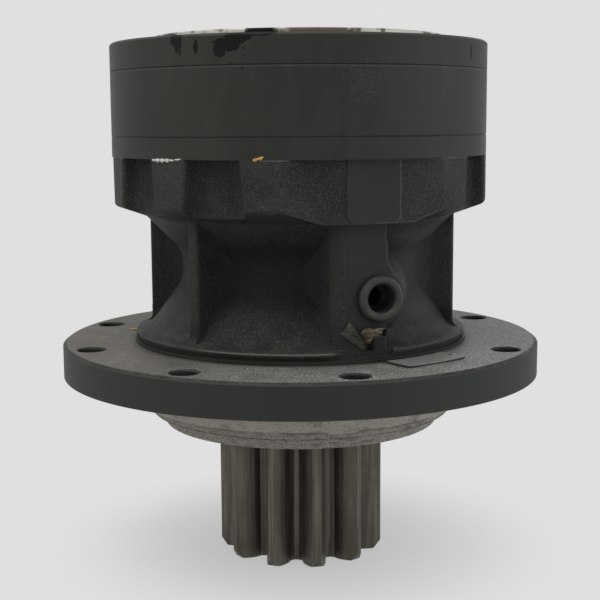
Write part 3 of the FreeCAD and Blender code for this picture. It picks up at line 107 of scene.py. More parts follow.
# A rise has the value where a mask starts and the one where it is full.
PATCH_RISE = (0.35, 0.70)
FLECK_RISE = (0.44, 0.72)
DUSTED_LUMP_RISE = (0.42, 0.62)
DUSTED_PATCH_RISE = (0.42, 0.65)
DUSTED_FINE_RISE = (0.50, 0.75)
WORN_SPECK_RISE = (0.40, 0.64)
IRON_STAIN_RISE = (0.50, 0.72)
LIP_STAIN_RISE = (0.30, 0.55)
CHIPPED_RISE = (0.35, 0.65)
LEVEL_RISE = (0.80, 0.95)
SLOPE_RISE = (0.05, 0.95)
FACING_OUT_RISE = (0.90, 0.98)
TOP_EDGE_RISE = (FLANGE_RIM_R - 0.0020, FLANGE_RIM_R - 0.0035)
UNDERSIDE_RISE = (0.0003, -0.0002)
RIM_RISE = (FLANGE_RIM_R - 0.0010, FLANGE_RIM_R)
RIM_FOOT_RISE = (0.0, 0.0003)
GROOVE_RISE = (0.1590, 0.1600)
PAD_FOOT_RISE = (0.044, 0.048)
AS_CAST_FOOT_RISE = (FOOT_Z - 0.0010, FOOT_Z)
AS_CAST_HEAD_RISE = (HEAD_TOP_Z - 0.0001, HEAD_TOP_Z - 0.0010)
WAIST_SHADE_RISE = (0.1400, 0.1200)
PROUD_RISE = (0.1490, 0.1520)
LIGHTER_SIDE_RISE = (0.070, 0.110)
FOOT_OUTSIDE_RISE = (0.1610, 0.1630)
JOINT_RISE = (HEAD_TOP_Z - 0.0014, HEAD_TOP_Z - 0.0006)
JOINT_OUTSIDE_RISE = (HEAD_R - 0.0015, HEAD_R - 0.0005)
LEFT_RISE = (0.02, -0.20)
RIGHT_RISE = (0.13, 0.20)
STEP_RISE = (0.1745, 0.1670)
LIP_RISE = (-0.0290, -0.0300)
PAD_EDGE_RISE = (0.046, 0.050)
PAD_LINE_RISE = (0.002, 0.006)
OUTER_EDGE_RISE = (0.985, 0.90)

# A band has its two ends and the distance over which it fades beyond them.
TOP_BAND = (FLANGE_TOP_Z - 0.0008, FLANGE_TOP_Z + 0.0004, 0.0004)
GROOVE_BAND = (SHOULDER_TOP_Z, FOOT_Z - 0.0002, 0.0003)
PAD_BAND = (PAD_DISTANCE, PAD_DISTANCE, 0.0005)
PAD_HEAD_BAND = (PAD_HEAD_DISTANCE, PAD_HEAD_DISTANCE, 0.0005)
PAD_EDGE_BAND = (PAD_DISTANCE - 0.0010, PAD_HEAD_DISTANCE, 0.0006)
WAIST_BAND = (0.070, 0.200, 0.020)
LOW_WAIST_BAND = (0.070, 0.140, 0.012)
FOOT_WALL_BAND = (FOOT_Z, FOOT_TOP_Z - 0.0030, 0.0006)
FOOT_EDGE_BAND = (FOOT_TOP_Z - 0.0020, FOOT_TOP_Z - 0.0012, 0.0006)
FRONT_BAND = (-0.070, 0.020, 0.040)

# Shares of masks that are laid together, and the range that a mask is stretched to.
DUSTED_LUMPS = (0.12, 0.87)
LYING_DUST = 0.62
SITTING_DUST = 0.25
PROUD_LIGHTENING = 0.12
SIDE_LIGHTENING = 0.34
FRONT_LINE = (0.25, 1.0)
FOOT_HIGHLIGHT = 0.75
JOINT_LINE = 0.42
CLUMPING = 0.12
CHIPPED_RANGE = (0.30, 0.95)

# Depth of each relief and radius of each eased edge, in metres.
LUMP_DEPTH = 0.0017
SWELL_DEPTH = 0.0010
FINE_DEPTH = 0.00010
CAST_EDGE = 0.0014
MILLED_EDGE = 0.0010
CHIPPED_EDGE = 0.0016
PAD_LINE_EDGE = 0.0032


def finish(name):
    """Starts a node finish: returns the material, its tree and its shader."""
    material = bpy.data.materials.new(name)
    material.use_nodes = True
    tree = material.node_tree
    return material, tree, tree.nodes["Principled BSDF"]


def add(tree, kind, sockets=None, **settings):
    """Adds a shader node; each socket is given a value, or is linked to another node's output."""
    made = tree.nodes.new("ShaderNode" + kind)
    for name, value in settings.items():
        setattr(made, name, value)
    for key, value in (sockets or {}).items():
        if isinstance(value, bpy.types.NodeSocket):
            tree.links.new(value, made.inputs[key])
        else:
            made.inputs[key].default_value = value
    return made


def place(tree):
    """The point on the piece in the gearbox's own frame, in metres."""
    return add(tree, "TexCoord").outputs["Object"]


def stretched(tree, where, scale):
    """The same point with each axis scaled, which stretches or squeezes a pattern."""
    return add(tree, "Mapping", {"Vector": where, "Scale": scale}).outputs["Vector"]


def along(tree, where, direction):
    """Distance of a point along a direction, from the origin."""
    return add(tree, "VectorMath", {0: where, 1: direction}, operation="DOT_PRODUCT").outputs["Value"]


def facing_way(tree):
    """The surface's own direction, without any relief."""
    return add(tree, "NewGeometry").outputs["Normal"]


def grain(tree, where, size, detail=3.0, roughness=0.55):
    """Cloudy noise from 0 to 1 whose lumps are about the given size in metres."""
    sockets = {"Vector": where, "Scale": 1.0 / size, "Detail": detail, "Roughness": roughness}
    return add(tree, "TexNoise", sockets).outputs["Fac"]


def step(tree, value, low, high):
    """Smooth rise from 0 at the low value to 1 at the high one, or a fall if they are swapped."""
    sockets = {"Value": value, "From Min": min(low, high), "From Max": max(low, high),
               "To Min": 0.0 if low < high else 1.0, "To Max": 1.0 if low < high else 0.0}
    return add(tree, "MapRange", sockets, interpolation_type="SMOOTHSTEP").outputs["Result"]


def cloud(tree, where, size, detail, roughness, low, high):
    """Mask of cloudy spots: noise that rises from 0 to 1 between two of its levels."""
    return step(tree, grain(tree, where, size, detail, roughness), low, high)


def band(tree, value, low, high, soft):
    """Mask that is 1 between two values and fades to 0 over a short way outside them."""
    return times(tree, step(tree, value, low - soft, low), step(tree, value, high + soft, high))


def maths(tree, operation, first, second=0.0, third=0.0):
    """One arithmetic step on up to three numbers."""
    return add(tree, "Math", {0: first, 1: second, 2: third}, operation=operation).outputs["Value"]


def times(tree, *factors):
    """Product of several masks and shares."""
    product = factors[0]
    for factor in factors[1:]:
        product = maths(tree, "MULTIPLY", product, factor)
    return product


def either(tree, *masks):
    """The largest of several masks."""
    largest = masks[0]
    for mask in masks[1:]:
        largest = maths(tree, "MAXIMUM", largest, mask)
    return largest


def ranging(tree, mask, low, high):
    """Number that goes from low to high as the mask goes from 0 to 1."""
    return maths(tree, "MULTIPLY_ADD", mask, high - low, low)


def without(tree, mask, share=1.0):
    """One less the given share of a mask."""
    return ranging(tree, mask, 1.0, 1.0 - share)


def mixed(tree, factor, first, second):
    """Colour that goes from the first to the second as the factor goes from 0 to 1."""
    return add(tree, "Mix", {0: factor, 6: first, 7: second}, data_type="RGBA").outputs[2]


def coated(tree, under, over, mask, share=1.0):
    """The first colour with a share of the second over it where the mask is 1."""
    return mixed(tree, times(tree, mask, share), under, over)


def height_parts(tree, where):
    """Height above the mounting face and distance from the main axis."""
    parts = add(tree, "SeparateXYZ", {"Vector": where})
    flat = add(tree, "CombineXYZ", {"X": parts.outputs["X"], "Y": parts.outputs["Y"]})
    radius = add(tree, "VectorMath", {0: flat.outputs["Vector"]}, operation="LENGTH").outputs["Value"]
    return parts.outputs["Z"], radius


def relief(tree, height, depth, base=None):
    """Surface direction after a height pattern of the given depth in metres."""
    sockets = {"Height": height, "Distance": depth, "Strength": 1.0}
    if base is not None:
        sockets["Normal"] = base
    return add(tree, "Bump", sockets).outputs["Normal"]


def soft_edge(tree, radius):
    """Surface direction with the sharp edges eased, as handling and paint leave them."""
    return add(tree, "Bevel", {"Radius": radius}, samples=4).outputs["Normal"]


def edge_wear(tree, radius):
    """Mask of the outer edges, from how far the eased direction turns from the true one."""
    sockets = {0: soft_edge(tree, radius), 1: facing_way(tree)}
    turned = add(tree, "VectorMath", sockets, operation="DOT_PRODUCT").outputs["Value"]
    return step(tree, turned, *OUTER_EDGE_RISE)


def wear(piece, material):
    """Puts one finish on every slot of a piece."""
    for slot in piece.material_slots:
        slot.material = material


material, tree, shader = finish("cast_iron_paint")
where = place(tree)
z, radius = height_parts(tree, where)
x = along(tree, where, X_AXIS)
facing = facing_way(tree)
facing_up = along(tree, facing, Z_AXIS)
pad_reach = along(tree, where, PAD_OUT)
lumps = grain(tree, where, *CAST_LUMPS)
patches = grain(tree, where, *CAST_PATCHES)
fine = grain(tree, where, *CAST_FINE)

# Areas: the flange's top, underside and rim, the groove under the foot, the pad's milled faces, and
# all that is left as cast.
on_top = times(tree, band(tree, z, *TOP_BAND), step(tree, facing_up, *LEVEL_RISE),
               step(tree, radius, *TOP_EDGE_RISE))
below = step(tree, z, *UNDERSIDE_RISE)
rim = times(tree, step(tree, radius, *RIM_RISE), step(tree, z, *RIM_FOOT_RISE))
shaded_groove = times(tree, band(tree, z, *GROOVE_BAND), step(tree, radius, *GROOVE_RISE))
pad_face = either(tree, band(tree, pad_reach, *PAD_BAND), band(tree, pad_reach, *PAD_HEAD_BAND))
milled = times(tree, pad_face, step(tree, along(tree, facing, PAD_OUT), *FACING_OUT_RISE),
               step(tree, z, *PAD_FOOT_RISE))
rough_cast = times(tree, step(tree, z, *AS_CAST_FOOT_RISE), step(tree, z, *AS_CAST_HEAD_RISE),
                   without(tree, milled, share=0.80))

# Paint: two shades, the sand's grain showing as flecks, and a plain coat on the milled faces.
paint = mixed(tree, step(tree, patches, *PATCH_RISE), CAST_PAINT_DARK, CAST_PAINT)
flecks = times(tree, step(tree, lumps, *FLECK_RISE), rough_cast)
paint = coated(tree, paint, CAST_FLECK, flecks, share=0.68)
paint = coated(tree, paint, MILLED_PAINT, milled, share=0.85)

# Dust: it lies on what faces up, more on the lumps than between them, and sits in the fine grain.
on_lumps = ranging(tree, step(tree, lumps, *DUSTED_LUMP_RISE), *DUSTED_LUMPS)
dust_lies = times(tree, step(tree, facing_up, *SLOPE_RISE), cloud(tree, where, *DUST_CLOUDS), on_lumps)
dust_sits = times(tree, step(tree, fine, *DUSTED_FINE_RISE), step(tree, patches, *DUSTED_PATCH_RISE))
dust_and_lightening = either(tree, times(tree, dust_lies, LYING_DUST), times(tree, dust_sits, SITTING_DUST))
paint = coated(tree, paint, CAST_DUST_AND_HIGHLIGHT, dust_and_lightening)
paint = coated(tree, paint, TURNED_PAINT, rim)

# Waist: painted shade deep between the ribs and under the head, and lighter on what stands proud and on the
# right side.
waist_painted_shade = times(tree, band(tree, z, *WAIST_BAND), step(tree, radius, *WAIST_SHADE_RISE))
paint = coated(tree, paint, CAST_PAINTED_SHADE, waist_painted_shade, share=0.55)
low_waist = band(tree, z, *LOW_WAIST_BAND)
proud = times(tree, low_waist, step(tree, radius, *PROUD_RISE), without(tree, milled))
lighter_side = times(tree, low_waist, step(tree, x, *LIGHTER_SIDE_RISE))
dust_and_lightening = either(tree, times(tree, proud, PROUD_LIGHTENING), times(tree, lighter_side, SIDE_LIGHTENING))
paint = coated(tree, paint, CAST_DUST_AND_HIGHLIGHT, dust_and_lightening)

# Foot and joint: painted shade on the wall under the foot and in the groove, a painted highlight on the
# foot's upper edge, brightest in front, and chips along the joint with the ring gear.
outside = step(tree, radius, *FOOT_OUTSIDE_RISE)
shaded_foot_wall = times(tree, band(tree, z, *FOOT_WALL_BAND), outside)
paint = coated(tree, paint, GROOVE_SHADE, shaded_foot_wall, share=0.60)
in_front = ranging(tree, band(tree, x, *FRONT_BAND), *FRONT_LINE)
foot_edge_highlight = times(tree, band(tree, z, *FOOT_EDGE_BAND), outside, in_front)
joint_edge = times(tree, step(tree, z, *JOINT_RISE), step(tree, radius, *JOINT_OUTSIDE_RISE),
                   cloud(tree, where, *JOINT_CHIPS))
highlight_and_chips = either(tree, times(tree, foot_edge_highlight, FOOT_HIGHLIGHT), times(tree, joint_edge, JOINT_LINE))
paint = coated(tree, paint, CAST_HIGHLIGHT_AND_CHIPS, highlight_and_chips)
paint = coated(tree, paint, GROOVE_SHADE, shaded_groove)

# Flange top: pale and dark specks in clumps, rust towards the left, dirt in clouds, darker towards the
# right, and a darker step next to the foot.
clump = maths(tree, "SUBTRACT", grain(tree, where, *WORN_CLUMPS), 0.5)
speck = maths(tree, "ADD", grain(tree, where, *WORN_SPECKS), times(tree, clump, CLUMPING))
worn = mixed(tree, step(tree, speck, *WORN_SPECK_RISE), WORN_TOP_DARK, WORN_TOP_LIGHT)
rusty = times(tree, step(tree, x, *LEFT_RISE), cloud(tree, where, *RUST_CLOUDS))
worn = coated(tree, worn, WORN_TOP_RUST, rusty, share=0.80)
worn = coated(tree, worn, WORN_TOP_DARK, cloud(tree, where, *DIRT_CLOUDS), share=0.30)
worn = coated(tree, worn, WORN_TOP_DARK, step(tree, x, *RIGHT_RISE), share=0.24)
worn = coated(tree, worn, WORN_STEP, step(tree, radius, *STEP_RISE))

# Spigot: bare pitted iron with stains and a dark lip at its lower edge.
bare = coated(tree, BARE_IRON, BARE_IRON_DARK, cloud(tree, where, *IRON_PITS), share=0.65)
stains = grain(tree, stretched(tree, where, STAIN_STRETCH), *IRON_STAINS)
bare = coated(tree, bare, BARE_IRON_DARK, step(tree, stains, *IRON_STAIN_RISE), share=0.70)
lip = times(tree, step(tree, z, *LIP_RISE), step(tree, stains, *LIP_STAIN_RISE))
bare = coated(tree, bare, BARE_IRON_SHADE, lip, share=0.75)

# All areas together, with the outer edges chipped and a painted highlight drawn as a pale line along the
# pad's edge.
colour = mixed(tree, below, mixed(tree, on_top, paint, worn), bare)
on_pad_edge = times(tree, band(tree, pad_reach, *PAD_EDGE_BAND), step(tree, z, *PAD_EDGE_RISE))
chipped = times(tree, edge_wear(tree, CHIPPED_EDGE), step(tree, fine, *CHIPPED_RISE))
chipped = times(tree, chipped, ranging(tree, on_pad_edge, *CHIPPED_RANGE))
colour = coated(tree, colour, CAST_DUST_AND_HIGHLIGHT, chipped)
# Painted highlight along the pad's edge.
pad_highlight = times(tree, edge_wear(tree, PAD_LINE_EDGE), on_pad_edge,
                 step(tree, along(tree, where, PAD_SIDE), *PAD_LINE_RISE))
colour = coated(tree, colour, CAST_DUST_AND_HIGHLIGHT, pad_highlight, share=0.70)
tree.links.new(colour, shader.inputs["Base Color"])
tree.links.new(ranging(tree, lumps, *CAST_ROUGHNESS), shader.inputs["Roughness"])
shader.inputs["Specular IOR Level"].default_value = CAST_SHEEN

sand = relief(tree, lumps, LUMP_DEPTH, base=soft_edge(tree, CAST_EDGE))
sand = relief(tree, grain(tree, where, *CAST_SWELL), SWELL_DEPTH, base=sand)
smooth = relief(tree, fine, FINE_DEPTH, base=soft_edge(tree, MILLED_EDGE))
normal = add(tree, "Mix", {0: rough_cast, 4: smooth, 5: sand}, data_type="VECTOR").outputs[1]
tree.links.new(normal, shader.inputs["Normal"])
wear(nodes["casing"], material)


# The two ring gears: turned steel rings with the internal teeth cut in them, bolted on the head.
# Painted satin charcoal, with oil that ran down from the motor face and a few scuffs; the motor's
# raised pilot and the teeth are bare, brown and black with old oil at the front.
RING_PAINT = (0.032, 0.0345, 0.0290, 1)
RING_PAINT_LIGHT = (0.040, 0.0425, 0.0365, 1)
RING_SCUFF = (0.120, 0.120, 0.105, 1)
RING_OIL = (0.0040, 0.0036, 0.0034, 1)
RING_BARE = (0.50, 0.48, 0.44, 1)
RING_BARE_DULL = (0.120, 0.108, 0.090, 1)
RING_BARE_BROWN = (0.085, 0.050, 0.030, 1)
# Pale of the painted highlight under the upper seam, and of the chips on the top edge.
RING_HIGHLIGHT_AND_CHIPS = (0.110, 0.112, 0.100, 1)
RING_ROUGHNESS = (0.40, 0.60)
RING_SHEEN = 0.16
OIL_ROUGHENS = 0.12
BARE_METALLIC = 0.8
PILOT_R = 0.1420
MOTOR_FACE_Z = 0.3213
UPPER_SEAM_Z = 0.2943
SMEARS = (0.020, 4.0, 0.55)
SMEAR_STRETCH = (1.0, 1.0, 0.30)
SMEAR_RISE = (0.35, 0.72)
PAINT_SPECKS = (0.0010, 2.0, 0.55, 0.58, 0.72)
SCUFF_MARKS = (0.0018, 2.0, 0.55, 0.56, 0.66)
EDGE_CHIPS = (0.008, 3.0, 0.55, 0.40, 0.60)
BARE_CLOUDS = (0.022, 3.0, 0.55, 0.50, 0.60)
RAGGED_NOISE = (0.005, 3.0, 0.70)
RAGGED_RANGE = (-1.2, 1.2)
SEAM_HIGHLIGHT_BAND = (UPPER_SEAM_Z - 0.0012, UPPER_SEAM_Z - 0.0008, 0.0008)
TOP_LINE_RISE = (MOTOR_FACE_Z - 0.0022, MOTOR_FACE_Z - 0.0008)
ON_FACE_RISE = (MOTOR_FACE_Z - 0.0008, MOTOR_FACE_Z - 0.0002)
OUTSIDE_PILOT_RISE = (PILOT_R, PILOT_R + 0.002)
INSIDE_PILOT_RISE = (PILOT_R + 0.0006, PILOT_R + 0.0001)
TURNING_MARKS = (0.006, 2.0, 0.55)
TURNING_STRETCH = (1.0, 1.0, 9.0)
TURNING_DEPTH = 0.00004
ORANGE_PEEL = (0.0014, 2.0, 0.55)
ORANGE_PEEL_DEPTH = 0.00006
RING_EDGE = 0.0008

# A stain has its middle, as an angle in degrees and a height, and its reach on both sides of it.
OIL_STAINS = (
    ((-127.2, 0.3190), (1.1, 0.0080)),
    ((-126.0, 0.3110), (0.8, 0.0060)),
    ((-124.9, 0.3065), (0.4, 0.0030)),
    ((-119.8, 0.3110), (0.8, 0.0055)),
    ((-105.6, 0.3190), (2.2, 0.0050)),
    ((-108.3, 0.3160), (3.0, 0.0055)),
    ((-111.0, 0.3120), (3.6, 0.0050)),
    ((-112.6, 0.3065), (1.8, 0.0055)),
    ((-105.9, 0.3081), (0.28, 0.0009)),
    ((-109.0, 0.2951), (0.30, 0.0010)),
    ((-106.2, 0.2916), (0.30, 0.0011)),
    ((-32.9, 0.3080), (0.55, 0.0060)),
    ((-109.4, 0.3115), (3.0, 0.0055)),
    ((-125.2, 0.3150), (1.0, 0.0060)),
    ((-101.2, 0.3214), (4.6, 0.0034)),
)
PILOT_OIL = ((-104.7, 0.3265), (5.6, 0.0300))
PILOT_BROWN = ((-84.0, 0.3265), (12.5, 0.0300))
SCUFFED = (
    ((-74.0, 0.2800), (5.0, 0.0180)),
    ((-45.0, 0.2850), (3.0, 0.0220)),
    ((-78.0, 0.2880), (3.0, 0.0060)),
)
STAIN_RIM = 1.05
CRISP = 0.15
BLURRED = 0.35
FADING = 0.45


def blot(tree, turn, z, stain, ragged, soft=CRISP):
    """Mask of a stain: an ellipse in angle and height about the main axis, its rim made ragged by noise."""
    (angle, height), (reach, rise) = stain
    across = maths(tree, "MULTIPLY_ADD", turn, 1 / math.radians(reach), -angle / reach)
    upwards = maths(tree, "MULTIPLY_ADD", z, 1 / rise, -height / rise)
    size = maths(tree, "ADD", times(tree, across, across), times(tree, upwards, upwards))
    return step(tree, maths(tree, "ADD", size, ragged), STAIN_RIM + soft, STAIN_RIM - soft)


material, tree, shader = finish("ring_paint")
where = place(tree)
z, radius = height_parts(tree, where)
turn = maths(tree, "ARCTAN2", along(tree, where, Y_AXIS), along(tree, where, X_AXIS))
ragged = ranging(tree, grain(tree, where, *RAGGED_NOISE), *RAGGED_RANGE)
smears = grain(tree, stretched(tree, where, SMEAR_STRETCH), *SMEARS)
paint = mixed(tree, step(tree, smears, *SMEAR_RISE), RING_PAINT, RING_PAINT_LIGHT)
paint = coated(tree, paint, RING_SCUFF, cloud(tree, where, *PAINT_SPECKS), share=0.20)
scuffs = either(tree, *[blot(tree, turn, z, stain, ragged) for stain in SCUFFED])
paint = coated(tree, paint, RING_SCUFF, times(tree, scuffs, cloud(tree, where, *SCUFF_MARKS)), share=0.35)
# Painted highlight: a pale line just under the upper seam.
paint = coated(tree, paint, RING_HIGHLIGHT_AND_CHIPS, band(tree, z, *SEAM_HIGHLIGHT_BAND), share=0.35)
top_line = times(tree, step(tree, z, *TOP_LINE_RISE), cloud(tree, where, *EDGE_CHIPS))
paint = coated(tree, paint, RING_HIGHLIGHT_AND_CHIPS, top_line, share=0.05)

machined = mixed(tree, cloud(tree, where, *BARE_CLOUDS), RING_BARE, RING_BARE_DULL)
brown = blot(tree, turn, z, PILOT_BROWN, ragged, FADING)
machined = coated(tree, machined, RING_BARE_BROWN, brown, share=0.85)
inside = step(tree, radius, *INSIDE_PILOT_RISE)

oil = either(tree, *[blot(tree, turn, z, stain, ragged) for stain in OIL_STAINS])
oil = times(tree, oil, step(tree, radius, *OUTSIDE_PILOT_RISE))
puddle = times(tree, blot(tree, turn, z, PILOT_OIL, ragged, BLURRED), step(tree, z, *ON_FACE_RISE))
oil = either(tree, oil, puddle)
colour = coated(tree, mixed(tree, inside, paint, machined), RING_OIL, oil)
tree.links.new(colour, shader.inputs["Base Color"])
tree.links.new(times(tree, inside, without(tree, oil), BARE_METALLIC), shader.inputs["Metallic"])
satin = ranging(tree, smears, *RING_ROUGHNESS)
tree.links.new(maths(tree, "ADD", satin, times(tree, oil, OIL_ROUGHENS)), shader.inputs["Roughness"])
shader.inputs["Specular IOR Level"].default_value = RING_SHEEN
turned = grain(tree, stretched(tree, where, TURNING_STRETCH), *TURNING_MARKS)
turned = relief(tree, turned, TURNING_DEPTH, base=soft_edge(tree, RING_EDGE))
peeled = relief(tree, grain(tree, where, *ORANGE_PEEL), ORANGE_PEEL_DEPTH, base=turned)
tree.links.new(peeled, shader.inputs["Normal"])
wear(nodes["first_stage_ring_gear"], material)
wear(nodes["second_stage_ring_gear"], material)


# The seal cover: a turned iron flange screwed under the spigot, bare, pitted and dusty.
# It carries the oil seal and the dust seal in its bore.
COVER_IRON = (0.340, 0.312, 0.278, 1)
COVER_IRON_DARK = (0.150, 0.135, 0.117, 1)
COVER_METALLIC = 0.25
COVER_ROUGHNESS = 0.62
COVER_STEP_Z = -0.0388
COVER_SEAM_BAND = (COVER_STEP_Z - 0.0004, COVER_STEP_Z + 0.0008, 0.0003)
COVER_RINGS = (0.012, 3.0, 0.55)
COVER_RING_STRETCH = (1.0, 1.0, 6.0)
COVER_RING_RISE = (0.48, 0.68)
COVER_SEAM_RISE = (0.30, 0.55)
COVER_PITS = (0.0018, 3.0, 0.70, 0.45, 0.66)
PIT_DEPTH = 0.00010
COVER_EDGE = 0.0010

material, tree, shader = finish("bare_cover_iron")
where = place(tree)
z, radius = height_parts(tree, where)
rings = grain(tree, stretched(tree, where, COVER_RING_STRETCH), *COVER_RINGS)
pits = cloud(tree, where, *COVER_PITS)
colour = mixed(tree, pits, COVER_IRON, COVER_IRON_DARK)
colour = coated(tree, colour, COVER_IRON_DARK, step(tree, rings, *COVER_RING_RISE))
seam = times(tree, band(tree, z, *COVER_SEAM_BAND), step(tree, rings, *COVER_SEAM_RISE))
colour = coated(tree, colour, BARE_IRON_SHADE, seam, share=0.75)
tree.links.new(colour, shader.inputs["Base Color"])
shader.inputs["Metallic"].default_value = COVER_METALLIC
shader.inputs["Roughness"].default_value = COVER_ROUGHNESS
tree.links.new(relief(tree, pits, PIT_DEPTH, base=soft_edge(tree, COVER_EDGE)), shader.inputs["Normal"])
wear(nodes["seal_cover"], material)


# The output pinion: a case-hardened steel forging with eleven hobbed teeth, cut on its shaft.
# Phosphated brown-grey, with fine marks along the teeth and brighter rubbed edges.
PINION_STEEL = (0.158, 0.143, 0.119, 1)
PINION_STEEL_DARK = (0.092, 0.081, 0.066, 1)
PINION_RUBBED = (0.42, 0.38, 0.34, 1)
PINION_METALLIC = 0.75
PINION_ROUGHNESS = (0.36, 0.56)
TOOTH_MARKS = (0.0045, 3.0, 0.55)
TOOTH_MARK_STRETCH = (1.0, 1.0, 0.06)
TOOTH_MARK_RISE = (0.35, 0.70)
TOOTH_RUB_RISE = (0.25, 0.60)
TOOTH_MARK_DEPTH = 0.00005
PHOSPHATE_CLOUDS = (0.028, 3.0, 0.55, 0.45, 0.70)
PHOSPHATE_GRAIN = (0.0016, 2.0, 0.55)
PHOSPHATE_DEPTH = 0.00004
RUBBED_EDGE = 0.0012
TOOTH_EDGE = 0.0009

material, tree, shader = finish("pinion_phosphate")
where = place(tree)
streaks = grain(tree, stretched(tree, where, TOOTH_MARK_STRETCH), *TOOTH_MARKS)
colour = mixed(tree, step(tree, streaks, *TOOTH_MARK_RISE), PINION_STEEL_DARK, PINION_STEEL)
colour = coated(tree, colour, PINION_STEEL_DARK, cloud(tree, where, *PHOSPHATE_CLOUDS), share=0.60)
rubbed = times(tree, edge_wear(tree, RUBBED_EDGE), step(tree, streaks, *TOOTH_RUB_RISE))
colour = coated(tree, colour, PINION_RUBBED, rubbed, share=0.70)
tree.links.new(colour, shader.inputs["Base Color"])
shader.inputs["Metallic"].default_value = PINION_METALLIC
tree.links.new(ranging(tree, streaks, *PINION_ROUGHNESS), shader.inputs["Roughness"])
marks = relief(tree, streaks, TOOTH_MARK_DEPTH, base=soft_edge(tree, TOOTH_EDGE))
marks = relief(tree, grain(tree, where, *PHOSPHATE_GRAIN), PHOSPHATE_DEPTH, base=marks)
tree.links.new(marks, shader.inputs["Normal"])
wear(nodes["pinion_shaft"], material)


# The port adapter: a turned steel fitting with a rounded collar, screwed into the pad.
# It was painted with the casting, is worn to grey on its rounded edge, and is dark with oil inside.
ADAPTER_PAINT = (0.050, 0.0495, 0.044, 1)
ADAPTER_WORN = (0.120, 0.115, 0.098, 1)
ADAPTER_OIL = (0.050, 0.045, 0.050, 1)
ADAPTER_PAINT_LEFT = 0.65
ADAPTER_ROUGHNESS = (0.42, 0.95)
ADAPTER_SHEEN = 0.25
ADAPTER_BORE_R = 0.0132
ADAPTER_MOUTH_DISTANCE = 0.1651
PORT_OFFSET = 0.0160
PORT_Z = 0.0898
BORE_WALL_RISE = (ADAPTER_BORE_R + 0.0006, ADAPTER_BORE_R)
BORE_DEPTH_RISE = (ADAPTER_MOUTH_DISTANCE - 0.0022, ADAPTER_MOUTH_DISTANCE - 0.0042)
ADAPTER_CLOUDS = (0.012, 3.0, 0.55, 0.40, 0.70)
ADAPTER_RUBS = (0.006, 3.0, 0.55, 0.40, 0.65)
ADAPTER_RUBBED_EDGE = 0.0014
ADAPTER_EDGE = 0.0008

material, tree, shader = finish("worn_fitting_paint")
where = place(tree)
aside = maths(tree, "SUBTRACT", along(tree, where, PAD_SIDE), PORT_OFFSET)
above = maths(tree, "SUBTRACT", along(tree, where, Z_AXIS), PORT_Z)
from_axis = maths(tree, "SQRT", maths(tree, "ADD", times(tree, aside, aside), times(tree, above, above)))
bore = times(tree, step(tree, from_axis, *BORE_WALL_RISE),
             step(tree, along(tree, where, PAD_OUT), *BORE_DEPTH_RISE))
colour = mixed(tree, cloud(tree, where, *ADAPTER_CLOUDS), ADAPTER_PAINT, ADAPTER_WORN)
colour = mixed(tree, ADAPTER_PAINT_LEFT, colour, ADAPTER_PAINT)
rubbed = times(tree, edge_wear(tree, ADAPTER_RUBBED_EDGE), cloud(tree, where, *ADAPTER_RUBS))
colour = coated(tree, colour, ADAPTER_WORN, rubbed, share=0.50)
tree.links.new(coated(tree, colour, ADAPTER_OIL, bore), shader.inputs["Base Color"])
tree.links.new(ranging(tree, bore, *ADAPTER_ROUGHNESS), shader.inputs["Roughness"])
shader.inputs["Specular IOR Level"].default_value = ADAPTER_SHEEN
peeled = grain(tree, where, *ORANGE_PEEL)
peeled = relief(tree, peeled, ORANGE_PEEL_DEPTH, base=soft_edge(tree, ADAPTER_EDGE))
tree.links.new(peeled, shader.inputs["Normal"])
wear(nodes["port_adapter"], material)


# Gear steel: planets, suns, carriers and their pins, and the spacer, nut and end plate on the shaft.
# Case-hardened, ground and wet with oil; the top ones are seen from the open motor end.
GEAR_STEEL = (0.46, 0.45, 0.43, 1)
GEAR_STEEL_OILED = (0.33, 0.31, 0.28, 1)
GEAR_METALLIC = 0.95
GEAR_ROUGHNESS = (0.42, 0.22)
OIL_FILM = (0.026, 3.0, 0.55, 0.36, 0.74)
GRINDING_MARKS = (0.0012, 2.0, 0.55)
GRINDING_STRETCH = (1.0, 1.0, 0.10)
GRINDING_DEPTH = 0.00003
GEAR_EDGE = 0.0005
GEAR_WORDS = ("planet", "sun", "carrier", "pins", "spacer", "nut", "plate", "lock")

material, tree, shader = finish("oiled_gear_steel")
where = place(tree)
film = cloud(tree, where, *OIL_FILM)
tree.links.new(mixed(tree, film, GEAR_STEEL, GEAR_STEEL_OILED), shader.inputs["Base Color"])
shader.inputs["Metallic"].default_value = GEAR_METALLIC
tree.links.new(ranging(tree, film, *GEAR_ROUGHNESS), shader.inputs["Roughness"])
ground = grain(tree, stretched(tree, where, GRINDING_STRETCH), *GRINDING_MARKS)
ground = relief(tree, ground, GRINDING_DEPTH, base=soft_edge(tree, GEAR_EDGE))
tree.links.new(ground, shader.inputs["Normal"])
for name, piece in nodes.items():
    if any(word in name for word in GEAR_WORDS) and "disc" not in name:
        wear(piece, material)


# Bearing steel: rings, rollers and cages of the two main bearings, and the seal's wear sleeve.
# All are ground bright.
BEARING_STEEL = (0.60, 0.60, 0.59, 1)
BEARING_STEEL_DULL = (0.40, 0.39, 0.37, 1)
BEARING_ROUGHNESS = (0.16, 0.36)
BEARING_HAZE = (0.015, 3.0, 0.55)
BEARING_HAZE_RISE = (0.40, 0.70)

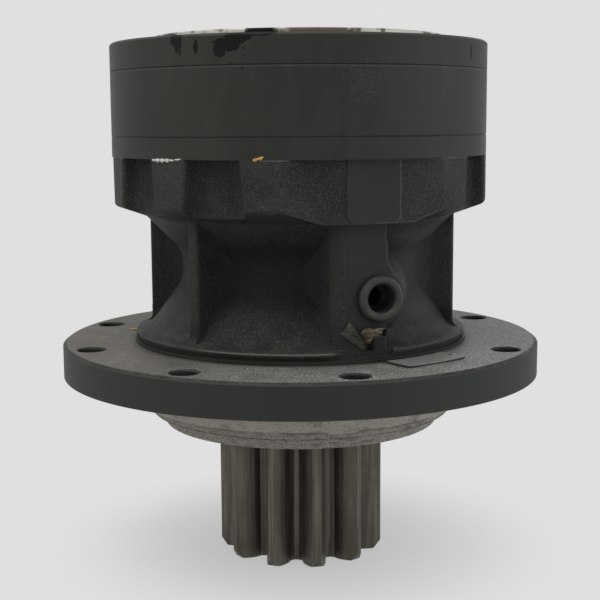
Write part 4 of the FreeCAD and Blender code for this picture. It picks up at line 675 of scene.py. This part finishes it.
material, tree, shader = finish("ground_bearing_steel")
where = place(tree)
haze = grain(tree, where, *BEARING_HAZE)
colour = mixed(tree, step(tree, haze, *BEARING_HAZE_RISE), BEARING_STEEL, BEARING_STEEL_DULL)
tree.links.new(colour, shader.inputs["Base Color"])
shader.inputs["Metallic"].default_value = 1.0
tree.links.new(ranging(tree, haze, *BEARING_ROUGHNESS), shader.inputs["Roughness"])
for name, piece in nodes.items():
    if "bearing" in name and "spacer" not in name or name == "seal_sleeve":
        wear(piece, material)


# Screws and dowels: blackened steel, scuffed on the rims of the heads.
# The socket heads are sunk in the motor face and under the seal cover.
SCREW_BLACK = (0.030, 0.030, 0.032, 1)
SCREW_SCUFF = (0.30, 0.29, 0.28, 1)
SCREW_METALLIC = 0.7
SCREW_ROUGHNESS = 0.42
SCREW_SCUFFS = (0.0015, 2.0, 0.55, 0.40, 0.60)
SCREW_SCUFF_EDGE = 0.0007
SCREW_GRAIN = (0.0009, 2.0, 0.55)
SCREW_GRAIN_DEPTH = 0.00004
SCREW_EDGE = 0.0006

material, tree, shader = finish("blackened_screws")
where = place(tree)
scuffed = times(tree, edge_wear(tree, SCREW_SCUFF_EDGE), cloud(tree, where, *SCREW_SCUFFS))
tree.links.new(mixed(tree, scuffed, SCREW_BLACK, SCREW_SCUFF), shader.inputs["Base Color"])
shader.inputs["Metallic"].default_value = SCREW_METALLIC
shader.inputs["Roughness"].default_value = SCREW_ROUGHNESS
grained = grain(tree, where, *SCREW_GRAIN)
grained = relief(tree, grained, SCREW_GRAIN_DEPTH, base=soft_edge(tree, SCREW_EDGE))
tree.links.new(grained, shader.inputs["Normal"])
for name in ("ring_bolts", "cover_screws", "end_plate_screws", "dowel_pins"):
    wear(nodes[name], material)


# Seals: moulded nitrile rings in the cover's bore and in the grooves between the rings.
# Matt black with a pale bloom in patches.
SEAL_RUBBER = (0.012, 0.012, 0.012, 1)
SEAL_BLOOM = (0.030, 0.029, 0.027, 1)
SEAL_ROUGHNESS = (0.50, 0.70)
BLOOM_CLOUDS = (0.008, 3.0, 0.55, 0.45, 0.70)
MOULD_GRAIN = (0.0010, 2.0, 0.55)
MOULD_DEPTH = 0.00005

material, tree, shader = finish("nitrile_rubber")
where = place(tree)
bloom = cloud(tree, where, *BLOOM_CLOUDS)
tree.links.new(mixed(tree, bloom, SEAL_RUBBER, SEAL_BLOOM), shader.inputs["Base Color"])
tree.links.new(ranging(tree, bloom, *SEAL_ROUGHNESS), shader.inputs["Roughness"])
tree.links.new(relief(tree, grain(tree, where, *MOULD_GRAIN), MOULD_DEPTH), shader.inputs["Normal"])
for name in ("oil_seal", "dust_seal", "casing_o_ring", "ring_o_ring", "cover_o_ring"):
    wear(nodes[name], material)


# Bronze bushes, thrust rings and washers, and the soft ring behind the port adapter.
# Cast and turned, and tarnished brown in patches.
BRONZE = (0.56, 0.36, 0.16, 1)
BRONZE_DULL = (0.26, 0.17, 0.09, 1)
BRONZE_METALLIC = 0.9
BRONZE_ROUGHNESS = (0.28, 0.48)
TARNISH_CLOUDS = (0.012, 3.0, 0.55, 0.40, 0.65)
BRONZE_GRAIN = (0.0010, 2.0, 0.55)
BRONZE_GRAIN_DEPTH = 0.00003

material, tree, shader = finish("bearing_bronze")
where = place(tree)
tarnish = cloud(tree, where, *TARNISH_CLOUDS)
tree.links.new(mixed(tree, tarnish, BRONZE, BRONZE_DULL), shader.inputs["Base Color"])
shader.inputs["Metallic"].default_value = BRONZE_METALLIC
tree.links.new(ranging(tree, tarnish, *BRONZE_ROUGHNESS), shader.inputs["Roughness"])
tree.links.new(relief(tree, grain(tree, where, *BRONZE_GRAIN), BRONZE_GRAIN_DEPTH), shader.inputs["Normal"])
for name, piece in nodes.items():
    if any(word in name for word in ("bush", "thrust", "disc", "port_washer")):
        wear(piece, material)


# The bare pressed plate on the flange, held by two rivets.
# It was painted over with the flange and has worn to the same grey; its side faces carry a black painted
# shadow line.
PLATE_WORN = (0.250, 0.246, 0.228, 1)
PLATE_DULL = (0.150, 0.147, 0.134, 1)
# Black of the painted shadow along the plate's side faces.
PLATE_EDGE_SHADOW = (0.006, 0.006, 0.006, 1)
PLATE_ROUGHNESS = 0.55
PLATE_SPECKLE = (0.0016, 3.0, 0.70, 0.42, 0.62)
EDGE_SHADOW_RISE = (0.60, 0.40)
PLATE_GRAIN = (0.0011, 2.0, 0.55)
PLATE_GRAIN_DEPTH = 0.00008
PLATE_ANGLE = -53.3
PLATE_RADIUS = 0.1838
PLATE_WIDTH = 0.070
PLATE_DEPTH = 0.0310
PLATE_THICKNESS = 0.0016
PLATE_CURL = 0.0009
PLATE_CORNER = 0.0022
RIVET_RADIUS = 0.0022
RIVET_HEIGHT = 0.0011
RIVET_SHARES = (-0.44, 0.44)


def grid_piece(name, points, material, closed_v=False, smooth=True):
    """A mesh on a grid of points (rows by columns by 3), with the columns joined round where closed."""
    rows, columns = points.shape[:2]
    i = np.arange(rows - 1)
    j = np.arange(columns if closed_v else columns - 1)
    i, j = (part.ravel() for part in np.meshgrid(i, j, indexing="ij"))
    j_next = (j + 1) % columns
    corners = (i * columns + j, (i + 1) * columns + j, (i + 1) * columns + j_next, i * columns + j_next)
    mesh = bpy.data.meshes.new(name)
    mesh.from_pydata(points.reshape(-1, 3).tolist(), [], np.stack(corners, 1).tolist())
    mesh.polygons.foreach_set("use_smooth", np.full(len(mesh.polygons), smooth))
    mesh.materials.append(material)
    piece = bpy.data.objects.new(name, mesh)
    bpy.context.collection.objects.link(piece)
    return piece


def on_flange(angle, radius, side, out, up):
    """Points from a spot on the flange: along the rim, outwards from the axis, and up from its top."""
    turn = math.radians(angle)
    x = (radius + out) * math.cos(turn) - side * math.sin(turn)
    y = (radius + out) * math.sin(turn) + side * math.cos(turn)
    return np.stack([x, y, FLANGE_TOP_Z + up], -1)


def pressed_plate(width, depth, thickness, corner, curl):
    """Closed plate: rings of a rounded rectangle (a circle's corners pushed apart) that shrink to a
    point on the top and the bottom, lifted by the square of the distance along the plate."""
    around = np.linspace(0.0, 2 * math.pi, 96, endpoint=False)
    share = np.array([0.0, 0.35, 0.7, 0.93, 1.0, 1.0, 0.93, 0.7, 0.35, 0.0])[:, None]
    level = np.array([1.0, 1.0, 1.0, 1.0, 0.75, 0.0, 0.0, 0.0, 0.0, 0.0])[:, None]
    rim_side = np.clip(np.cos(around) * 8, -1, 1) * (width / 2 - corner) + np.cos(around) * corner
    rim_out = np.clip(np.sin(around) * 8, -1, 1) * (depth / 2 - corner) + np.sin(around) * corner
    side = share * rim_side
    out = share * rim_out
    up = level * thickness + curl * (2 * side / width) ** 2
    return side, out, up


def rivet_head(share):
    """Dome: a quarter sine and cosine from rim to top, turned about the rivet's middle, which lies at
    a share of the plate's width on its curled top."""
    rise = np.linspace(0.0, math.pi / 2, 8)[:, None]
    turns = np.linspace(0.0, 2 * math.pi, 24, endpoint=False)[None, :]
    side = share * PLATE_WIDTH + RIVET_RADIUS * np.cos(rise) * np.cos(turns)
    out = RIVET_RADIUS * np.cos(rise) * np.sin(turns)
    up = PLATE_THICKNESS + PLATE_CURL * (2 * share) ** 2 + RIVET_HEIGHT * np.sin(rise) + 0.0 * turns
    return side, out, up


worn_plate, tree, shader = finish("painted_plate")
where = place(tree)
colour = mixed(tree, cloud(tree, where, *PLATE_SPECKLE), PLATE_DULL, PLATE_WORN)
# Painted shadow: the plate's side faces are coloured black.
painted_edge_shadow = step(tree, along(tree, facing_way(tree), Z_AXIS), *EDGE_SHADOW_RISE)
tree.links.new(coated(tree, colour, PLATE_EDGE_SHADOW, painted_edge_shadow), shader.inputs["Base Color"])
shader.inputs["Roughness"].default_value = PLATE_ROUGHNESS
tree.links.new(relief(tree, grain(tree, where, *PLATE_GRAIN), PLATE_GRAIN_DEPTH), shader.inputs["Normal"])

surface = pressed_plate(PLATE_WIDTH, PLATE_DEPTH, PLATE_THICKNESS, PLATE_CORNER, PLATE_CURL)
points = on_flange(PLATE_ANGLE, PLATE_RADIUS, *surface)
plate = grid_piece("bare_plate", points, worn_plate, closed_v=True, smooth=False)
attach(plate, "housing")
for number, share in enumerate(RIVET_SHARES):
    points = on_flange(PLATE_ANGLE, PLATE_RADIUS, *rivet_head(share))
    rivet = grid_piece("plate_rivet_%d" % (number + 1), points, worn_plate, closed_v=True)
    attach(rivet, "housing")


# Sealant squeezed out of the joint under the ring gear, left of the front: a white ragged bead and a
# short orange curl, and one orange crumb that fell on the flange.
SEALANT_WHITE = (0.72, 0.71, 0.66, 1)
SEALANT_ORANGE = (0.70, 0.42, 0.10, 1)
SEALANT_DIRT = (0.0015, 3.0, 0.55, 0.50, 0.70)
SEALANT_DIRT_SHADE = 0.45
SEALANT_ROUGHNESS = 0.5
SEALANT_GRAIN = (0.0010, 2.0, 0.55)
SEALANT_GRAIN_DEPTH = 0.0002
JOINT_R = 0.1843
JOINT_Z = 0.2138

# A bead has its colour, its first and last angle in degrees, the heights of both ends over the
# joint, its thickness in metres and the number of its lumps.
BEADS = (
    ("sealant_bead", "white", (-136.7, -127.8), (0.0, 0.0), 0.0014, 9.0),
    ("sealant_end", "white", (-127.6, -125.3), (0.0005, 0.0009), 0.0007, 5.0),
    ("sealant_curl", "orange", (-103.6, -100.7), (0.0006, 0.0030), 0.0014, 3.0),
)
CRUMB_ANGLE = 167.9
CRUMB_RADIUS = 0.1762
CRUMB_SIZE = (0.0032, 0.0082, 0.0018)


def bead(angles, heights, thickness, waves):
    """Tube along an arc on the joint: its radius is a half sine along the arc, which closes both
    ends, times one plus two sines of the arc that make it lumpy."""
    run = np.linspace(0.0, 1.0, 90)[:, None]
    round_it = np.linspace(0.0, 2 * math.pi, 14, endpoint=False)[None, :]
    turn = np.radians(angles[0] + (angles[1] - angles[0]) * run)
    lumpy = 0.35 * np.sin(waves * math.pi * run) + 0.20 * np.sin(2.7 * waves * math.pi * run + 1)
    swell = thickness * np.sin(math.pi * run) ** 0.45 * (1 + lumpy)
    reach = JOINT_R + 0.6 * swell * np.cos(round_it)
    rise = heights[0] + (heights[1] - heights[0]) * run
    height = JOINT_Z + rise + swell * np.sin(round_it) - 0.3 * swell
    return np.stack([reach * np.cos(turn), reach * np.sin(turn), height], -1)


def crumb(angle, radius, size):
    """Pebble on the flange: a sphere's latitudes and longitudes stretched on three axes, with a
    dent that follows the product of two sines."""
    length, width, height = size
    tilt = np.linspace(-math.pi / 2, math.pi / 2, 14)[:, None]
    turn = np.linspace(0.0, 2 * math.pi, 22, endpoint=False)[None, :]
    dent = 1 - 0.18 * np.sin(3 * turn) * np.sin(2 * tilt + 1)
    side = length / 2 * np.cos(tilt) * np.cos(turn) * dent
    out = width / 2 * np.cos(tilt) * np.sin(turn) * dent
    up = height / 2 * (1 + np.sin(tilt)) + 0.0 * turn
    return on_flange(angle, radius, side, out, up)


def rubbery(name, base):
    """Finish of cured sealant: one colour with dirt in its hollows."""
    material, tree, shader = finish(name)
    where = place(tree)
    dirty = tuple(SEALANT_DIRT_SHADE * channel for channel in base[:3]) + (1,)
    colour = mixed(tree, cloud(tree, where, *SEALANT_DIRT), base, dirty)
    tree.links.new(colour, shader.inputs["Base Color"])
    shader.inputs["Roughness"].default_value = SEALANT_ROUGHNESS
    grained = relief(tree, grain(tree, where, *SEALANT_GRAIN), SEALANT_GRAIN_DEPTH)
    tree.links.new(grained, shader.inputs["Normal"])
    return material


sealant = {
    "white": rubbery("white_sealant", SEALANT_WHITE),
    "orange": rubbery("orange_sealant", SEALANT_ORANGE),
}
leavings = []
for name, shade, angles, heights, thickness, waves in BEADS:
    points = bead(angles, heights, thickness, waves)
    leavings.append(grid_piece(name, points, sealant[shade], closed_v=True))
points = crumb(CRUMB_ANGLE, CRUMB_RADIUS, CRUMB_SIZE)
leavings.append(grid_piece("sealant_crumb", points, sealant["orange"], closed_v=True))
for leaving in leavings:
    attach(leaving, "housing")


# A scrap of protective tape left on the pad under the port: a flat strip that has let go at one end,
# a curled-up roll whose open end holds a black sheet of painted shade, and a black flap between them as a
# painted shadow.
TAPE_STRIP = (0.118, 0.122, 0.102, 1)
# The darker tape colours are a painted shade for the creases.
TAPE_STRIP_SHADED = (0.062, 0.062, 0.050, 1)
TAPE_ROLL = (0.160, 0.153, 0.126, 1)
TAPE_ROLL_SHADED = (0.036, 0.031, 0.022, 1)
TAPE_RUST = (0.110, 0.066, 0.028, 1)
# Black of the painted shadow: the flap and the sheet inside the roll's mouth.
TAPE_SHADOW_BLACK = (0.0030, 0.0030, 0.0030, 1)
TAPE_SHADOW_BLACK_DARK = (0.0050, 0.0045, 0.0040, 1)
TAPE_SHEEN = 0.10
TAPE_CREASE_SHADE = (0.0024, 3.0, 0.55, 0.46, 0.60)
TAPE_STRETCH = (0.5, 0.5, 1.4)
RUST_SPOTS = (0.0040, 2.0, 0.55, 0.44, 0.58)
RUST_SIDE_RISE = (0.0080, 0.0020)
TAPE_GRAIN = (0.0016, 3.0, 0.55)
TAPE_GRAIN_DEPTH = 0.00018
TAPE_THICKNESS = 0.0005
PAD_FLAT_FROM = -0.0130
PAD_CORNER_R = 0.0140

# Corners of the strip and of the black flap of painted shadow, each as its distance to the right of the
# pad's
# middle and its height: two of the first end, then two of the last.
STRIP_CORNERS = ((-0.0220, 0.0594), (-0.0144, 0.0706), (0.0000, 0.0432), (0.0082, 0.0438))
SHADOW_TAIL_CORNERS = ((0.0043, 0.0592), (0.0096, 0.0588), (0.0022, 0.0443), (0.0088, 0.0441))

# Ends of the roll and of the black sheet of painted shade inside it, with their distance off the pad as a
# third number.
ROLL_START = (-0.0052, 0.0604, 0.0072)
SHADOW_LINING_START = (0.0085, 0.0602, 0.0092)
ROLL_MOUTH = (0.0165, 0.0602, 0.0104)


def on_pad(side, height, off):
    """Points over the pad's front: the flat face, and its rounded left corner as part of a circle."""
    past = np.clip(PAD_FLAT_FROM - side, 0.0, 0.95 * PAD_CORNER_R)
    reach = PAD_DISTANCE - PAD_CORNER_R + np.sqrt(PAD_CORNER_R ** 2 - past ** 2) + off
    x = reach * PAD_OUT[0] + side * PAD_SIDE[0]
    y = reach * PAD_OUT[1] + side * PAD_SIDE[1]
    return np.stack([x, y, height + 0.0 * side], -1)


def tape_strip(corners, base, lift, ripple):
    """Closed strip of tape: both faces as a blend of four corners, from end to end and from edge to
    edge; its distance off the pad is a square law from one end plus two sines, and its thickness
    goes to nothing at both ends and edges."""
    corners = np.array(corners)
    run = np.linspace(0.0, 1.0, 48)[:, None]
    edge = np.linspace(0.0, 1.0, 24)
    loop = np.concatenate([edge, edge[-2:0:-1]])[None, :]
    face = np.concatenate([np.ones(24), np.zeros(22)])[None, :]
    first = corners[0] * (1 - loop)[..., None] + corners[1] * loop[..., None]
    last = corners[2] * (1 - loop)[..., None] + corners[3] * loop[..., None]
    flat = first * (1 - run)[..., None] + last * run[..., None]
    off = lift * (1 - run) ** 2 + ripple * (1 + np.sin(9 * run + 2 * loop)) * np.sin(math.pi * loop) ** 0.5
    thick = TAPE_THICKNESS * face * np.minimum(1.0, 12 * np.minimum(run, 1 - run))
    return on_pad(flat[..., 0], flat[..., 1], base + off + thick)


def tape_roll(start, end, radius, wall, depth, creases, belly, sag):
    """Curled tape: a cup along the line between two points, out from a closed end to the mouth and
    back inside it. Its radius grows as a root from the closed end and carries slanting sine creases; a
    bell curve at a third of the way widens and lowers it, and a shear turns the mouth outwards."""
    path = np.concatenate([np.linspace(0.0, 1.0, 60), np.linspace(1.0, 1.0 - depth, 30)])[:, None]
    skin = np.concatenate([np.ones(60), np.full(30, 1 - wall)])[:, None]
    turn = np.linspace(0.0, 2 * math.pi, 64, endpoint=False)[None, :]
    grow = np.minimum(1.0, np.sqrt(path / 0.22))
    shut = np.concatenate([np.ones(60), np.minimum(1.0, np.sqrt(np.linspace(1.0, 0.0, 30) * 3))])[:, None]
    crease = 1 + creases * (np.sin(5 * turn + 16 * path) + 0.6 * np.sin(9 * turn - 25 * path + 1))
    bell = np.exp(-((path - 0.31) / 0.14) ** 2)
    size = radius * grow * shut * skin * crease * (1 + belly * bell)
    start = np.array(start)
    axis = np.array(end) - start
    side = start[0] + axis[0] * path - 1.25 * path ** 2 * size * np.cos(turn)
    height = start[1] + axis[1] * path - sag * bell + size * np.sin(turn)
    off = start[2] + axis[2] * path + size * np.cos(turn)
    return on_pad(side, height, off)


def tape(name, light, dark, roughness, rust=None):
    """Finish of old tape: a darker painted shade in its creases, and rust on the part nearest the strip."""
    material, tree, shader = finish(name)
    where = place(tree)
    crease_shade = cloud(tree, stretched(tree, where, TAPE_STRETCH), *TAPE_CREASE_SHADE)
    colour = mixed(tree, crease_shade, light, dark)
    if rust:
        rusted = times(tree, step(tree, along(tree, where, PAD_SIDE), *RUST_SIDE_RISE),
                       cloud(tree, where, *RUST_SPOTS))
        colour = coated(tree, colour, rust, rusted, share=0.80)
    tree.links.new(colour, shader.inputs["Base Color"])
    shader.inputs["Roughness"].default_value = roughness
    shader.inputs["Specular IOR Level"].default_value = TAPE_SHEEN
    tree.links.new(relief(tree, grain(tree, where, *TAPE_GRAIN), TAPE_GRAIN_DEPTH), shader.inputs["Normal"])
    return material


strip_tape = tape("strip_tape", TAPE_STRIP, TAPE_STRIP_SHADED, roughness=0.45)
roll_tape = tape("roll_tape", TAPE_ROLL, TAPE_ROLL_SHADED, roughness=0.50, rust=TAPE_RUST)
painted_shadow_tape = tape("painted_shadow_tape", TAPE_SHADOW_BLACK, TAPE_SHADOW_BLACK_DARK, roughness=0.55)
strip = tape_strip(STRIP_CORNERS, base=0.0003, lift=0.0022, ripple=0.0004)
# Painted shadow: a black flap between the strip and the roll.
shadow_tail = tape_strip(SHADOW_TAIL_CORNERS, base=0.0030, lift=0.0015, ripple=0.0003)
roll = tape_roll(ROLL_START, ROLL_MOUTH, radius=0.0039, wall=0.08, depth=0.40,
                 creases=0.045, belly=0.82, sag=0.0026)
# Painted shade: a black sheet inside the roll's open end.
shadow_lining = tape_roll(SHADOW_LINING_START, ROLL_MOUTH, radius=0.0035, wall=0.05, depth=0.85,
                   creases=0.02, belly=0.0, sag=0.0)
scraps = (
    grid_piece("tape_strip", strip, strip_tape, closed_v=True),
    grid_piece("painted_shadow_tail", shadow_tail, painted_shadow_tape, closed_v=True),
    grid_piece("tape_roll", roll, roll_tape, closed_v=True),
    grid_piece("painted_shadow_lining", shadow_lining, painted_shadow_tape, closed_v=True),
)
for scrap in scraps:
    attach(scrap, "housing")


# The place that the gearbox is shown in: a round pale floor that fades into a pale room of the same
# tone, with soft light from above and all sides.
PALE = (0.745, 0.745, 0.745, 1)
WHITE = (1.0, 1.0, 1.0, 1)
FLOOR_LIT = (0.860, 0.860, 0.860, 1)
FLOOR_ROUGHNESS = 0.9
FLOOR_R = 1.6
FLOOR_FADE = (0.06, 0.30)
FLOOR_PLAIN = (0.60, 1.0)
FLOOR_GAP = 0.0004
ROOM_LIGHT = 0.14
GEARBOX_MIDDLE = (0, 0, 0.1)
GEARBOX_FRONT = (0, 0, 0.05)
WARM = (1.0, 1.0, 0.91)
COOL = (0.93, 1.0, 1.0)


def looked_at(tree):
    """Mask of the rays that show a surface: straight from the camera, mirrored, or through glass."""
    rays = add(tree, "LightPath")
    return either(tree, rays.outputs["Is Camera Ray"], rays.outputs["Is Glossy Ray"],
                  rays.outputs["Is Transmission Ray"])


def softbox(name, place_at, look_at, size, power, colour=WHITE[:3]):
    """A rectangular area light at one point, turned to another."""
    light = bpy.data.lights.new(name, "AREA")
    light.shape = "RECTANGLE"
    light.size, light.size_y = size
    light.energy = power
    light.color = colour
    lamp = bpy.data.objects.new(name, light)
    bpy.context.collection.objects.link(lamp)
    lamp.location = place_at
    lamp.rotation_euler = (Vector(look_at) - Vector(place_at)).to_track_quat("-Z", "Y").to_euler()


pale_floor, tree, shader = finish("pale_floor")
where = place(tree)
z, radius = height_parts(tree, where)
shader.inputs["Base Color"].default_value = FLOOR_LIT
shader.inputs["Roughness"].default_value = FLOOR_ROUGHNESS
shader.inputs["Specular IOR Level"].default_value = 0.0
glow = add(tree, "Emission", {"Color": PALE, "Strength": 1.0}).outputs["Emission"]
far = ranging(tree, step(tree, radius, *FLOOR_FADE), *FLOOR_PLAIN)
shown = add(tree, "MixShader", {0: times(tree, looked_at(tree), far), 1: shader.outputs["BSDF"], 2: glow})
tree.links.new(shown.outputs["Shader"], tree.nodes["Material Output"].inputs["Surface"])

floor_z = cad_box[0][2] - FLOOR_GAP
spread = np.linspace(0.0, FLOOR_R, 16)[:, None]
turns = np.linspace(0.0, 2 * math.pi, 96, endpoint=False)[None, :]
floor_x = spread * np.cos(turns)
floor_y = spread * np.sin(turns)
disc = np.stack(np.broadcast_arrays(floor_x, floor_y, floor_z), -1)
floor = grid_piece("pale_floor", disc, pale_floor, closed_v=True, smooth=False)

world = bpy.data.worlds.new("pale_room")
bpy.context.scene.world = world
world.use_nodes = True
room = world.node_tree
room.nodes["Background"].inputs["Color"].default_value = WHITE
strength = ranging(room, looked_at(room), ROOM_LIGHT, PALE[0])
room.links.new(strength, room.nodes["Background"].inputs["Strength"])

softbox("top_light", (-0.3, -0.5, 1.9), GEARBOX_MIDDLE, size=(1.4, 1.4), power=22)
softbox("left_light", (-1.6, -0.6, 0.7), GEARBOX_MIDDLE, size=(0.9, 1.5), power=5.2, colour=WARM)
softbox("right_light", (1.6, -0.55, 0.6), GEARBOX_MIDDLE, size=(1.9, 1.5), power=10.4, colour=COOL)
softbox("back_light", (0.4, 2.1, 0.8), GEARBOX_MIDDLE, size=(1.2, 1.2), power=3.4)
softbox("front_light", (-0.7, -2.1, 0.9), GEARBOX_FRONT, size=(1.2, 1.2), power=1.6)


# The camera at the photograph's place: a long lens, a little above the flange and tipped down.
CAMERA_DISTANCE = 1.2293
CAMERA_HEIGHT = 0.2474
CAMERA_ANGLE = math.radians(-91.25)
CAMERA_PITCH = math.radians(8.32)
CAMERA_ROLL = math.radians(0.38)
CAMERA_LENS = 73.6
CAMERA_SENSOR = 36.0
CAMERA_NEAREST = 0.01

lens = bpy.data.cameras.new("camera")
lens.sensor_width = CAMERA_SENSOR
lens.lens = CAMERA_LENS
lens.clip_start = CAMERA_NEAREST
camera = bpy.data.objects.new("camera", lens)
bpy.context.collection.objects.link(camera)
camera_x = CAMERA_DISTANCE * math.cos(CAMERA_ANGLE)
camera_y = CAMERA_DISTANCE * math.sin(CAMERA_ANGLE)
stand = Vector((camera_x, camera_y, CAMERA_HEIGHT))
aim = Matrix.Rotation(CAMERA_ANGLE + math.pi / 2, 4, "Z")
tip = Matrix.Rotation(math.pi / 2 - CAMERA_PITCH, 4, "X")
level = Matrix.Rotation(-CAMERA_ROLL, 4, "Z")
camera.matrix_world = Matrix.Translation(stand) @ aim @ tip @ level
bpy.context.scene.camera = camera
bpy.context.scene.view_settings.view_transform = "Standard"
